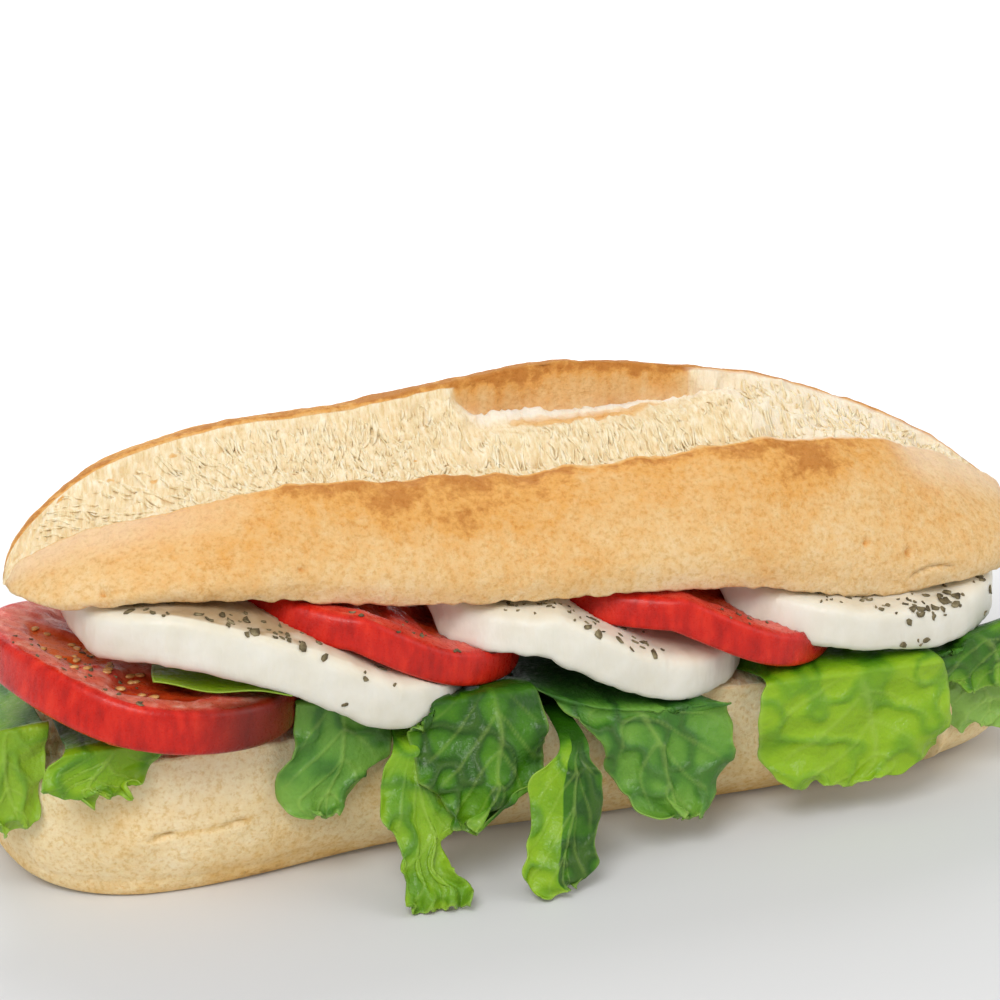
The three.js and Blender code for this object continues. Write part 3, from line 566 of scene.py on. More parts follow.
class Paint:
    """A procedural material. Places are in metres in the row frame, so sizes are given in mm."""

    def __init__(self, name, **constants):
        self.material = bpy.data.materials.new(name)
        self.material.use_nodes = True
        self.tree = self.material.node_tree
        self.shader = self.tree.nodes["Principled BSDF"]
        for key, value in constants.items():
            self.shader.inputs[key.replace("_", " ")].default_value = value
        self.place = add_node(self.tree, "ShaderNodeTexCoord").outputs["Object"]

    def stretched(self, scale, turn):
        inputs = {"Vector": self.place, "Rotation": (0, 0, turn)}
        turned = add_node(self.tree, "ShaderNodeMapping", inputs).outputs["Vector"]
        inputs = {"Vector": turned, "Scale": scale}
        return add_node(self.tree, "ShaderNodeMapping", inputs).outputs["Vector"]

    def noise(self, size, detail=3.0, stretch=None, rough=0.55, turn=0.0):
        where = self.stretched(stretch, turn) if stretch else self.place
        inputs = {"Vector": where, "Scale": 1 / (size * MM), "Detail": detail, "Roughness": rough}
        return add_node(self.tree, "ShaderNodeTexNoise", inputs).outputs["Fac"]

    def mask(self, name):
        return add_node(self.tree, "ShaderNodeAttribute", attribute_name=name).outputs["Fac"]

    def ramp(self, value, stops):
        made = add_node(self.tree, "ShaderNodeValToRGB", {"Fac": value})
        elements = made.color_ramp.elements
        while len(elements) < len(stops):
            elements.new(0.5)
        for element, (at, colour) in zip(elements, stops):
            element.position = at
            element.color = (*colour, 1) if isinstance(colour, tuple) else (colour,) * 3 + (1,)
        return made.outputs["Color"]

    def maths(self, operation, a, b=0.0, c=0.0):
        made = add_node(self.tree, "ShaderNodeMath", {0: a, 1: b, 2: c}, operation=operation)
        return made.outputs["Value"]

    def times(self, value, share):
        return self.maths("MULTIPLY", value, share)

    def times_plus(self, value, share, more):
        return self.maths("MULTIPLY_ADD", value, share, more)

    def blend(self, factor, a, b, kind="MIX"):
        settings = {"data_type": "RGBA", "blend_type": kind, "clamp_factor": True}
        a, b = ((*value, 1) if isinstance(value, tuple) else value for value in (a, b))
        made = add_node(self.tree, "ShaderNodeMix", {0: factor, 6: a, 7: b}, **settings)
        return made.outputs[2]

    def covered(self, colour, layers):
        """Colour with layers over it, each where the mask of its name shows."""
        for name, over in layers.items():
            colour = self.blend(self.mask(name), colour, over)
        return colour

    def bump(self, height, depth, strength):
        inputs = {"Height": height, "Distance": depth * MM, "Strength": strength}
        return add_node(self.tree, "ShaderNodeBump", inputs).outputs["Normal"]

    def finish(self, colour, roughness=None, normal=None):
        self.tree.links.new(colour, self.shader.inputs["Base Color"])
        if roughness is not None:
            self.tree.links.new(roughness, self.shader.inputs["Roughness"])
        if normal is not None:
            self.tree.links.new(normal, self.shader.inputs["Normal"])
        return self.material


# The gap colour is painted shade, for the gaps between the crumb's fibres and for its hollows.
CRUMB = {
    "light": (0.97, 0.87, 0.66),
    "middle": (0.91, 0.75, 0.48),
    "gap": (0.74, 0.53, 0.26),
    "flour": (0.95, 0.87, 0.74),
}
MOTTLE = [(0.36, (0.80, 0.66, 0.43)), (0.5, (0.97, 0.94, 0.89)), (0.62, (1.0, 1.0, 1.0))]
FIBRE_TURN = math.radians(12)


def crust_material(name, pale, golden, brown, dark):
    """Baked crust, with torn crumb and flour where the masks of those names show, and painted shade in the
    crumb's gaps.
    """
    paint = Paint(name, Subsurface_Weight=0.05, Subsurface_Scale=0.002, Specular_IOR_Level=0.22)
    patches = paint.noise(13, 4, rough=0.6)
    speck = paint.noise(2.6, 5, rough=0.65)
    grain = paint.noise(1.1, 5, rough=0.7)
    fibre = paint.noise(0.75, 4, stretch=(1.0, 0.2, 0.2), rough=0.65, turn=FIBRE_TURN)
    baked = paint.times_plus(patches, 0.7, paint.maths("SUBTRACT", paint.mask("toast"), 0.80))
    baked = paint.times_plus(speck, 0.9, baked)
    skin = paint.ramp(baked, [(0.0, pale), (0.4, golden), (0.8, brown), (1.0, dark)])
    skin = paint.blend(0.75, skin, paint.ramp(grain, MOTTLE), "MULTIPLY")
    # Painted shade: the crumb darkens between its fibres and where the gap mask shows.
    crumb = paint.ramp(fibre, [(0.3, CRUMB["gap"]), (0.5, CRUMB["middle"]), (0.66, CRUMB["light"])])
    crumb = paint.covered(crumb, {"gap": CRUMB["gap"]})
    torn = paint.times_plus(speck, 0.4, paint.maths("SUBTRACT", paint.mask("torn"), 0.2))
    torn = paint.ramp(torn, [(0.35, 0.0), (0.6, 1.0)])
    colour = paint.blend(torn, skin, crumb)
    dusty = paint.times(paint.mask("flour"), paint.ramp(speck, [(0.3, 0.55), (0.6, 1.0)]))
    colour = paint.blend(dusty, colour, CRUMB["flour"])
    rough = paint.ramp(baked, [(0.0, 0.85), (0.8, 0.6)])
    rough = paint.blend(torn, rough, (0.95, 0.95, 0.95))
    relief = paint.times_plus(grain, 1.0, paint.times(paint.noise(0.5, 3), 0.3))
    relief = paint.times_plus(paint.times(fibre, torn), 0.8, relief)
    return paint.finish(colour, rough, paint.bump(relief, 0.6, 0.7))


def tomato_material():
    paint = Paint(
        "tomato_flesh", Subsurface_Weight=0.15, Subsurface_Scale=0.0018, Specular_IOR_Level=0.28,
        Subsurface_Radius=(1.0, 0.2, 0.08), Coat_Weight=0.05, Coat_Roughness=0.15,
    )
    streak = paint.noise(2.6, 4, stretch=(1.0, 1.0, 0.35))
    fine = paint.noise(0.8, 4, rough=0.7)
    flesh, wet, gel, skin = (paint.ramp(streak, stops) for stops in (
        [(0.3, (0.58, 0.016, 0.006)), (0.55, (0.72, 0.034, 0.014)), (0.8, (0.80, 0.11, 0.05))],
        [(0.25, (0.56, 0.06, 0.035)), (0.5, (0.70, 0.16, 0.10)), (0.7, (0.84, 0.38, 0.29))],
        [(0.3, (0.34, 0.018, 0.005)), (0.7, (0.72, 0.085, 0.014))],
        [(0.3, (0.40, 0.008, 0.004)), (0.5, (0.58, 0.014, 0.006)), (0.7, (0.72, 0.03, 0.012))],
    ))
    colour = paint.covered(flesh, {
        # The wet layer is paler wet flesh with a painted sheen of light on it.
        "wet": wet, "gel": gel, "orange": (0.80, 0.16, 0.018), "pith": (0.84, 0.30, 0.18),
        # The dark layer is painted shade on the rims' right ends, under the next slice.
        "skin": skin, "dark": (0.075, 0.010, 0.004),
    })
    rough = paint.ramp(fine, [(0.3, 0.2), (0.7, 0.42)])
    return paint.finish(colour, rough, paint.bump(fine, 0.35, 0.35))


def cheese_material():
    paint = Paint(
        "fresh_mozzarella", Subsurface_Weight=0.3, Subsurface_Scale=0.0025, Specular_IOR_Level=0.35,
        Subsurface_Radius=(1.0, 0.85, 0.65), Coat_Weight=0.06, Coat_Roughness=0.25,
    )
    cloud = paint.noise(7, 3)
    fibre = paint.noise(1.4, 4, stretch=(1.0, 0.6, 0.3))
    colour = paint.ramp(cloud, [(0.3, (0.73, 0.69, 0.575)), (0.7, (0.81, 0.78, 0.69))])
    # Creamier, darker top faces: partly the cheese's cream tone, partly painted shade under the bun.
    colour = paint.blend(paint.times(paint.mask("cream"), 0.5), colour, (0.80, 0.68, 0.46))
    # Brown top of the first slice: partly an oily herb stain, partly painted shade under the bun.
    colour = paint.blend(paint.times(paint.mask("stain"), 0.8), colour, (0.38, 0.23, 0.09))
    rough = paint.ramp(fibre, [(0.3, 0.32), (0.7, 0.55)])
    relief = paint.times_plus(fibre, 0.7, paint.times(cloud, 0.6))
    return paint.finish(colour, rough, paint.bump(relief, 0.5, 0.4))


def lettuce_material():
    paint = Paint(
        "lettuce_leaf", Subsurface_Weight=0.08, Subsurface_Scale=0.001, Specular_IOR_Level=0.34,
        Subsurface_Radius=(0.5, 1.0, 0.1),
    )
    cloud = paint.noise(6, 4)
    fine = paint.noise(0.9, 3)
    tone = paint.times_plus(cloud, 0.5, paint.maths("SUBTRACT", paint.mask("tone"), 0.25))
    warm = paint.ramp(tone, [
        (0.0, (0.016, 0.080, 0.001)), (0.25, (0.045, 0.165, 0.002)), (0.5, (0.105, 0.270, 0.004)),
        (0.75, (0.180, 0.360, 0.006)), (1.0, (0.255, 0.435, 0.010)),
    ])
    cool = paint.ramp(tone, [
        (0.0, (0.018, 0.085, 0.012)), (0.25, (0.045, 0.165, 0.020)), (0.5, (0.100, 0.260, 0.036)),
        (0.75, (0.160, 0.345, 0.055)), (1.0, (0.245, 0.430, 0.080)),
    ])
    leaf = paint.covered(warm, {"cool": cool})
    lit = paint.blend(0.5, leaf, (0.42, 0.58, 0.12))
    colour = paint.blend(paint.times(paint.mask("vein"), 0.55), leaf, lit)
    colour = paint.blend(paint.times(paint.mask("rim"), 0.7), colour, lit)
    rough = paint.ramp(fine, [(0.3, 0.28), (0.7, 0.5)])
    relief = paint.times_plus(paint.noise(2.2, 3), 1.0, paint.times(fine, 0.25))
    return paint.finish(colour, rough, paint.bump(relief, 0.8, 0.6))


def flecked_material(name, stops, size, rough=0.7):
    paint = Paint(name, Roughness=rough)
    colour = paint.ramp(paint.noise(size, 3), stops)
    return paint.finish(colour, None, paint.bump(paint.noise(0.4, 3), 0.2, 0.5))


top_crust = crust_material(
    "crust_top", (0.85, 0.66, 0.40), (0.82, 0.545, 0.25), (0.78, 0.40, 0.105), (0.56, 0.23, 0.045),
)
bottom_crust = crust_material(
    "crust_bottom", (0.97, 0.83, 0.56), (0.94, 0.74, 0.42), (0.84, 0.55, 0.20), (0.50, 0.27, 0.08),
)
tomato_paint = tomato_material()
cheese_paint = cheese_material()
lettuce_paint = lettuce_material()
HERB_STOPS = [(0.3, (0.055, 0.038, 0.016)), (0.5, (0.15, 0.115, 0.05)), (0.7, (0.32, 0.26, 0.14))]
SEED_STOPS = [(0.3, (0.45, 0.17, 0.04)), (0.7, (0.78, 0.46, 0.16))]
herb_paint = flecked_material("dried_herb", HERB_STOPS, 1.6)
seed_paint = flecked_material("tomato_seed", SEED_STOPS, 1.5, 0.25)


# Slices

slice_grids = {}
slice_trees = {}
for cut in SLICES:
    points, radius, height, turn = slice_grid(cut)
    slice_grids[cut["name"]] = (points, radius, height, turn)
    slice_trees[cut["name"]] = tree_of(*closed_rings(points, {})[:2])
ceiling_of_slices = Heights(slice_trees.values(), from_below=True)
top_of_slices = Heights(slice_trees.values(), from_below=False)


def leaf_ceiling(x, y):
    return ceiling_of_slices(x, y) - LEAF_CLEARANCE


def pressed(points, later):
    """Points kept under the undersides of the later slices."""
    flat = points.reshape(-1, 3).copy()
    for name in later:
        tree = slice_trees[name]
        for i, (x, y, z) in enumerate(flat.tolist()):
            hit = tree.ray_cast(Vector((x, y, BOTTOM)), Vector((0, 0, 1)))[0]
            if hit is not None and z > hit.z - GAP:
                flat[i, 2] = hit.z - GAP
    return flat.reshape(points.shape)


LOCULES = 5
CHAMBER = (0.34, 0.42, 0.74, 0.82)  # shares of the radius
CHAMBER_WALL = (0.6, 0.78)
FACE_EDGE = 0.951
# Painted shadow: the right ends of the tomato slices' rims turn away from the light under the next slice,
# and are darkened over these x ranges.
SHADED_ENDS = {"tomato_1": (-92, -76), "tomato_2": (-24, -4), "tomato_3": (42, 62)}  # dark right ends


def tomato_detail(cut, points, radius, height, turn):
    """Relief and masks of a cut tomato: skin round the rim, gel chambers between fleshy walls."""
    face = step(0.3, 0.5, np.abs(height)) * (radius < FACE_EDGE)
    slot = (turn * LOCULES / (2 * np.pi) + 0.35 * np.sin(cut["x"])) % 1
    wall = np.abs(slot - 0.5) * 2
    rough_radius = radius + 0.03 * noise(points, 4, 3)
    chamber = span(rough_radius, *CHAMBER) * (1 - step(*CHAMBER_WALL, wall))
    skin = step(0.93, 0.975, radius)
    pith = bell(radius - 0.2, 0.16) * (1 - chamber) + 0.5 * bell(radius - 0.86, 0.03)
    first = cut["name"] == "tomato_1"
    relief = -1.0 * chamber * face + (0.35 if first else 0.22) * fractal(points, 3, 3, 5) * face
    relief += 0.12 * noise(points, 9, 8) * skin
    # Partly paler wet flesh, partly painted sheen where the wet face catches the light: in patches on the
    # first slice, faintly over the other faces.
    wet = face * (0.5 + 0.5 * step(-0.5, 0.3, noise(points, 3, 17))) if first else 0.2 * face
    orange = face * chamber * bell(turn % (2 * np.pi) - 1.02 * np.pi, 0.35) if first else 0 * face
    # Painted shade darkening the rim at the slice's right end.
    dark = 0.8 * step(*SHADED_ENDS[cut["name"]], points[..., 0]) * step(0.8, 0.95, radius)
    masks = {
        "gel": chamber * face,
        "pith": unit(pith) * face * (0.35 if first else 0.1),
        "skin": skin,
        "wet": wet,
        "orange": orange,
        "dark": dark,
    }
    return relief, masks


def cheese_detail(cut, points, radius, height, turn):
    """Relief and masks of a slice of fresh cheese: soft hollows, and fibres down the rim."""
    rim = step(0.8, 0.95, radius)
    down_the_rim = stack(turn * cut["rx"], 0 * turn, 4 * height)
    fibres = noise(down_the_rim, (1.6, 1, 6), 4) + 0.5 * noise(down_the_rim, (0.8, 1, 4), 6)
    relief = 0.35 * noise(points, 12, 2) + 0.22 * fractal(points, 4, 3, 9)
    relief += 0.16 * fibres * rim
    if cut["name"] == "mozzarella_2":
        lower = bell(height + 0.45, 0.25) * rim * bell(turn - 1.38 * np.pi, 0.45)
        relief = relief + 0.45 * lower * noise(down_the_rim, (1.7, 1, 30), 11)
    # Creamier, darker top faces: partly the cheese's cream tone, partly painted shade under the bun.
    cream = step(0.25, 0.5, height) * (0.65 + 0.35 * noise(points, 8, 14))
    stain = 0 * cream
    # Brown top of the first slice: partly an oily herb stain, partly painted shade under the bun.
    if cut["name"] == "mozzarella_1":
        near = bell(points[..., 0] + 80, 22) * bell(points[..., 1] + 40, 8)
        on_top = (height > 0.42) * (radius < 0.95)
        stain = 2.6 * near * on_top * (0.4 + 0.6 * step(-0.2, 0.4, noise(points, 2.6, 18)))
    return relief, {"cream": unit(cream), "stain": unit(stain)}


SLICE_LOOKS = {"tomato": (tomato_detail, tomato_paint), "cheese": (cheese_detail, cheese_paint)}
for index, cut in enumerate(SLICES):
    points, radius, height, turn = slice_grids[cut["name"]]
    detail, material = SLICE_LOOKS[cut["kind"]]
    relief, masks = detail(cut, points, radius, height, turn)
    bare = points + slice_normals(points) * relief[..., None]
    later = [c["name"] for c in SLICES[index + 1:] if c["x"] - c["rx"] < cut["x"] + cut["rx"]]
    shaped = pressed(bare, later)
    slice_grids[cut["name"]] = (shaped, radius, height, turn)
    ringed, faces, masks = closed_rings(shaped, masks)
    make_piece("visual_" + cut["name"], ringed, faces, material, cut["kind"], cut["name"], masks)


# Leaves

LEAF_COLUMNS = 58
LEAF_ROWS = (22, 10, 84)  # behind, over the cut face, and down the front
BLISTER_SIZE = (5.2, 9, 5.2)
CRINKLE = {"blister": 1.7, "wave": 1.0, "rim": 0.6, "vein": 0.35}


def leaf_veins(leaf, across, down):
    """Strength from 0 to 1 of the midrib and its side veins on the hanging part."""
    side = 2 * across - 1
    phase = leaf["left"][0]
    middle = 0.16 * np.sin(2.6 * down + phase) + 0.1
    offset = side - middle
    rib = bell(offset, 0.035 * (1.25 - 0.8 * down))
    branch = (down * 4.2 - np.abs(offset) * 1.9 + 0.15 * np.sin(5 * side + phase)) % 1
    branches = bell(np.minimum(branch, 1 - branch), 0.055) * (1 - step(0.6, 0.95, np.abs(side)))
    return unit(rib + 0.7 * branches)


def leaf_grid():
    """Shares across a leaf and along it, from its back edge to its tip."""
    behind, out = PATH_PARTS
    across = np.linspace(0, 1, LEAF_COLUMNS)[None, :]
    along = np.concatenate([
        np.linspace(0, behind, LEAF_ROWS[0], endpoint=False),
        np.linspace(behind, out, LEAF_ROWS[1], endpoint=False),
        np.linspace(out, 1, LEAF_ROWS[2]),
    ])[:, None]
    return np.broadcast_arrays(across, along)


def leaf_fields(leaf, across, along, middle):
    """How far down, how free and how near the rim each point is, and where veins and blisters lie."""
    behind, out = PATH_PARTS
    side = 2 * across - 1
    down = unit((along - out) / (1 - out))
    hang = np.maximum(0, 1 - along / behind)
    tucked = "on" in leaf
    to_rim = np.minimum(1 - np.abs(side), np.where(along > 0.3, 1.6 * (1 - along), 3 * along))
    bent = middle + 1.2 * np.stack([noise(middle, 4, seed) for seed in (91, 92, 93)], -1)
    cell = noise(bent, BLISTER_SIZE, 21)
    return SimpleNamespace(
        side=side,
        down=down,
        tucked=tucked,
        free=np.zeros_like(down) if tucked else step(0.02, 0.3, down) + step(0.0, 0.4, hang),
        to_rim=to_rim,
        near_rim=1 - step(0.0, 0.16, to_rim),
        veins=leaf_veins(leaf, across, down),
        cell=cell,
        blister=np.abs(cell) ** 0.6,
    )


def crinkled(leaf, across, middle, at):
    """Middle surface with its blisters, veins, fold and scalloped rim, kept off the floor."""
    crinkle = CRINKLE["blister"] * at.blister + CRINKLE["wave"] * noise(middle, 8, 22)
    crinkle += CRINKLE["rim"] * at.near_rim * noise(middle, 2.6, 23)
    crinkle -= CRINKLE["vein"] * at.veins
    shaped = middle + grid_normals(middle) * (crinkle * at.free)[..., None]
    fold_at, fold_width, fold_height = leaf["fold"]
    fold = bell(across - fold_at - 0.06 * np.sin(5 * at.down), fold_width) * step(0.0, 0.25, at.down)
    shaped[..., 1] -= fold_height * fold * at.free
    scallop = noise(middle, (3.2, 50, 3.2), 29) * at.near_rim * at.free
    shaped[..., 0] += 0.8 * scallop * np.sign(at.side)
    shaped[..., 2] -= 0.6 * scallop * step(0.85, 1, at.down)
    shaped[..., 2] = np.maximum(shaped[..., 2], LEAF_THICKNESS)
    return shaped


def sheet_faces(rows, columns):
    """Faces of a sheet of two grids of points, one behind the other, with the strip round their edge."""
    count = rows * columns
    faces = grid_faces(rows, columns)
    faces += [f[::-1] for f in grid_faces(rows, columns, start=count)]
    ring = np.concatenate([
        np.arange(columns),
        np.arange(1, rows) * columns + columns - 1,
        (rows - 1) * columns + np.arange(columns - 2, -1, -1),
        np.arange(rows - 2, 0, -1) * columns,
    ]).tolist()
    faces += [[b, a, a + count, b + count] for a, b in zip(ring, ring[1:] + ring[:1])]
    return faces


def leaf_masks(leaf, across, along, at):
    out = PATH_PARTS[1]
    network = bell(at.cell, 0.09)
    light = 0 * at.down if at.tucked else 0.2 * step(0.4, 1.0, at.down)
    # Tone raised or lowered on either side of the fold, by each leaf's sides.
    tone_beside_fold = np.where(across < leaf["fold"][0], *leaf["sides"]) * step(0, 0.03, at.down)
    thin_rim = 1 - step(0.0, 0.05, at.to_rim)
    # Painted shade: leaves are darker where they lie under the slices, before they bend down the front.
    covered = (1 - step(out - 0.01, out + 0.05, along)) * (0 if at.tucked else 1)
    # Painted light and shade of the blisters: lighter on their domes, darker in the creases between them.
    blister_light_and_shade = 0.22 * at.blister - 0.34 * bell(at.cell, 0.22)
    return {
        "vein": unit(at.veins + 0.25 * network) * at.free,
        "rim": thin_rim * np.maximum(at.free, 1.0 if at.tucked else 0),
        "tone": leaf["tone"] + light + blister_light_and_shade - 0.5 * covered + tone_beside_fold,
        "cool": leaf["cool"] + 0 * at.down,
    }


def leaf_piece(leaf):
    across, along = leaf_grid()
    surface = tucked_middle if "on" in leaf else leaf_middle
    middle = surface(leaf, across, along)
    at = leaf_fields(leaf, across, along, middle)
    shaped = crinkled(leaf, across, middle, at)
    half = LEAF_THICKNESS / 2 * (1 - 0.5 * at.near_rim)[..., None] * grid_normals(shaped)
    points = np.vstack([(shaped + half).reshape(-1, 3), (shaped - half).reshape(-1, 3)])
    faces = sheet_faces(*across.shape)
    masks = {key: np.tile(value.ravel(), 2) for key, value in leaf_masks(leaf, across, along, at).items()}
    make_piece("visual_" + leaf["name"], points, faces, lettuce_paint, "lettuce", leaf["name"], masks)
    return tree_of(points, faces)


leaf_trees = [leaf_piece(leaf) for leaf in LEAVES]
leaf_piece(TUCKED_LEAF)
floor_of_fillings = Heights([*slice_trees.values(), *leaf_trees], from_below=True)


# Bottom bun

LOAF_RINGS = 440
BASE_TURNS = (0.3, 0.4, 0.7)  # shares of the way round at the foot, the heel and the cut face
BASE_STEPS = (66, 10, 40, 80)
CRACK = {"x": -83.0, "z": 15.5, "half": 13.0, "slope": 0.07}


def loaf_shares(count):
    t = np.linspace(0, 1, count)
    crowded = (1 - np.cos(np.pi * t)) / 2
    return mix(crowded, t, 0.5 * (1 - (2 * crowded - 1) ** 4))


def loaf_grid(turns, steps):
    """Shares along a bun, and of the way round it with so many steps in each part."""
    edges = (0.0, *turns, 1.0)
    parts = [np.linspace(*part, endpoint=False) for part in zip(edges, edges[1:], steps)]
    return np.broadcast_arrays(loaf_shares(LOAF_RINGS)[:, None], np.concatenate(parts)[None, :])


def crust_relief(points, seed, swell, swell_size, grain_size):
    """Gentle swells of a baked crust, with its dents and its fine grain."""
    relief = swell * noise(points, swell_size, seed) + 0.16 * fractal(points, grain_size, 3, seed + 2)
    return relief + 0.05 * noise(points, 0.9, seed + 6)


def loaf_normals(points, column):
    """Outward unit normals of a bun, of which a column of points faces up."""
    normals = grid_normals(points, wrap=True)
    return normals * np.sign(np.sum(normals[:, column, 2]))


def porous(points, seed):
    """Open crumb: pits of a few sizes between a spongy relief."""
    large = step(0.28, 0.6, noise(points, 3.4, seed))
    small = step(0.35, 0.6, noise(points, 1.9, seed + 1))
    return 0.3 * fractal(points, 3.0, 3, seed + 2) - 1.0 * (large + 0.7 * small)


def bottom_bun():
    s, turn = loaf_grid(BASE_TURNS, BASE_STEPS)
    to_foot, to_heel, to_cut = BASE_TURNS
    x = mix(BASE["left"], BASE["right"], s)
    width, middle = base_width(s), base_middle(s)
    foot = base_foot(s) * blunt_end(s, BASE["bluntness"])
    front, on_cut = turn <= to_foot, turn >= to_cut
    on_flat = (turn > to_foot) & (turn < to_heel)
    side = np.where(front, -1.0, 1.0)
    edge_limit = floor_of_fillings(x, middle + side * (width - 1.2)) - GAP
    edge_cut = np.minimum(base_cut(s), edge_limit)

    across = mix(1, -1, (turn - to_cut) / (1 - to_cut))
    crumb = 0.3 * wobble(3 * x, 60 * across, 1) + BASE["crown"]
    cut_face = stack(x, middle + width * across, base_cut(s) + crumb * (1 - across**2))

    flat_across = mix(-1, 1, (turn - to_foot) / (to_heel - to_foot))
    flat = stack(x, middle + foot * flat_across, 0 * x)

    down = unit(np.where(front, turn / to_foot, (to_cut - turn) / (to_cut - to_heel)))
    angle = down * np.pi / 2
    skin = 0.4 * wobble(x, 50 * down, 2.4) + 1.6 * np.sin(np.minimum(1, 1.5 * down) * np.pi)
    out = mix(foot, width, np.maximum(np.cos(angle), 0) ** 0.9) + skin * np.sin(2 * angle)
    crust = stack(x, middle + side * out, mix(edge_cut, 0, np.sin(angle) ** 0.95))

    points = np.where(on_cut[..., None], cut_face, np.where(on_flat[..., None], flat, crust))
    points[..., 2] = mix(BASE["tip_height"], points[..., 2], blunt_end(s, 2 * BASE["bluntness"]))

    normals = loaf_normals(points, -BASE_STEPS[-1] // 2)
    inside_cut = on_cut * step(0.0, 0.06, 1 - np.abs(across))
    relief = crust_relief(points, 31, 0.28, 8, 3) * step(0, 5, points[..., 2])
    lift = np.where(on_cut, inside_cut * porous(points, 41), relief)
    beside = x - CRACK["x"]
    from_crack = points[..., 2] - CRACK["z"] - CRACK["slope"] * beside - 0.5 * noise(points, 5, 43)
    along_crack = 1 - step(0.7, 1, np.abs(beside) / CRACK["half"])
    gash = bell(from_crack, 0.5) * along_crack * (front & ~on_cut)
    lift = lift - 1.1 * gash * step(-0.3, 0.3, noise(points, 4, 45))
    points = points + normals * lift[..., None]
    limit = floor_of_fillings(points[..., 0], points[..., 1]) - GAP
    points[..., 2] = np.where(on_cut, np.minimum(points[..., 2], limit), points[..., 2])
    points[..., 2] = np.maximum(points[..., 2], 0)

    ends = 1 - blunt_end(s, 6)
    toast = 0.42 + 0.2 * noise(points, 22, 47) - 0.1 * ends + 0.35 * gash
    toast += 0.25 * bell(down - 0.85, 0.2) - 0.25 * bell(down - 0.05, 0.12)
    toast = np.where(on_cut, 0.3, toast)
    masks = {"torn": 1.0 * on_cut, "toast": unit(toast), "flour": 0 * toast, "gap": 0 * toast}
    ringed, faces, masks = closed_rings(points, masks)
    make_piece("visual_bun_bottom", ringed, faces, bottom_crust, "crust", "bun_bottom", masks)


# Top bun

CROWN_TURNS = (0.24, 0.52, 0.78)  # shares of the way round at the front lip, back lip and cut face
CROWN_STEPS = (62, 92, 32, 34)
FACE_TURN = math.radians(72)
WALL_FOOT_RISE = (WALL_SHARE - 0.02, WALL_SHARE + 0.03)
FLAP = {"x": 78.0, "z": 50.5, "half": 7.0, "depth": 1.1, "curve": 0.04}
# Bubbles in the scores, by x and share of the way from lip to lip, and holes by x, height and size
BUBBLES = [(-90, 0.84), (-82, 0.66), (-76, 0.86), (-101, 0.93), (-30, 0.3)]
PIN_HOLES = [(62, 58, 0.8), (72, 54.5, 0.9), (-78, 61.5, 0.7), (-62, 68, 0.5), (-101, 67, 0.6)]


def crown_form():
    """Places round the top bun, and what its relief and its colours need to know of them."""
    s, turn = loaf_grid(CROWN_TURNS, CROWN_STEPS)
    to_front, to_back, to_edge = CROWN_TURNS
    x = mix(CROWN["left"], CROWN["right"], s)
    width, middle, cut = crown_width(s), crown_middle(s), crown_cut(s)
    back_cut = cut - CROWN["back_drop"]
    ends = blunt_end(s, CROWN["bluntness"])
    front_y, front_z = mix(middle, front_lip_y(s), ends), front_lip_z(s)
    back_y, back_z = mix(middle, back_lip_y(s), ends), back_lip_z(s)
    ragged = 0.5 * wobble(2.6 * x, 0, 0.7)

    # Crust from the front edge of the cut up to the front lip
    up = unit(turn / to_front)
    angle = up * FACE_TURN
    rise = np.sin(angle) / math.sin(FACE_TURN)
    inward = (1 - np.cos(angle)) / (1 - math.cos(FACE_TURN))
    edge_top = top_of_slices(x, middle - width + 1.0) + GAP
    front_cut = np.maximum(cut, np.where(edge_top > 0, edge_top, cut))
    front_crust = stack(
        x,
        mix(middle - width, front_y, inward) - 1.3 * np.sin(np.pi * np.minimum(1, 1.7 * rise)),
        mix(front_cut, front_z, rise) + ragged * step(0.7, 1, rise),
    )
    # Opened scores
    inside = unit((turn - to_front) / (to_back - to_front))
    second = second_score(x)
    trough = stack(
        x,
        mix(front_y, back_y, mix(inside, np.minimum(1, inside / WALL_SHARE), second)),
        mix(front_z, back_z, inside) + score_relief(x, inside) + ragged * (1 - inside),
    )
    # Crust from the back lip down to the back edge of the cut
    back_angle = np.pi / 2 * (1 - unit((turn - to_back) / (to_edge - to_back)))
    back_crust = stack(
        x,
        mix(middle + width, back_y, 1 - np.maximum(np.cos(back_angle), 0) ** 0.9),
        mix(back_cut, back_z, np.sin(back_angle) ** 0.9),
    )
    # Cut face
    across = mix(1, -1, (turn - to_edge) / (1 - to_edge))
    uneven = 0.3 * wobble(3 * x, 60 * across, 4) * (1 - across**2)
    cut_face = stack(x, middle + width * across, mix(cut, back_cut, (across + 1) / 2) + uneven)

    on_face, on_trough, on_cut = turn < to_front, (turn >= to_front) & (turn < to_back), turn >= to_edge
    points = np.where(
        on_face[..., None], front_crust,
        np.where(on_trough[..., None], trough, np.where(on_cut[..., None], cut_face, back_crust)),
    )
    tip = np.where(s < 0.5, CROWN["left_tip_height"], CROWN["tip_height"])
    tall = np.where(s < 0.5, blunt_end(s, 3), blunt_end(s, 5))
    points[..., 2] = mix(cut + tip, points[..., 2], tall)
    return SimpleNamespace(
        points=points, x=x, ends=ends, up=up, rise=rise, inside=inside, second=second, across=across,
        on_face=on_face, on_trough=on_trough, on_cut=on_cut, past_front=turn >= to_front,
        before_back=turn < to_back, before_edge=turn < to_edge,
        wall=second * step(*WALL_FOOT_RISE, inside) * (1 - step(42, 47, x)) * (turn <= to_back),
        from_front_lip=np.where(on_face, (1 - rise) * 24, inside * TROUGH_WIDTH),
        from_back_lip=np.where(on_trough, (1 - inside) * TROUGH_WIDTH, 30.0 * (1 - np.sin(back_angle))),
    )


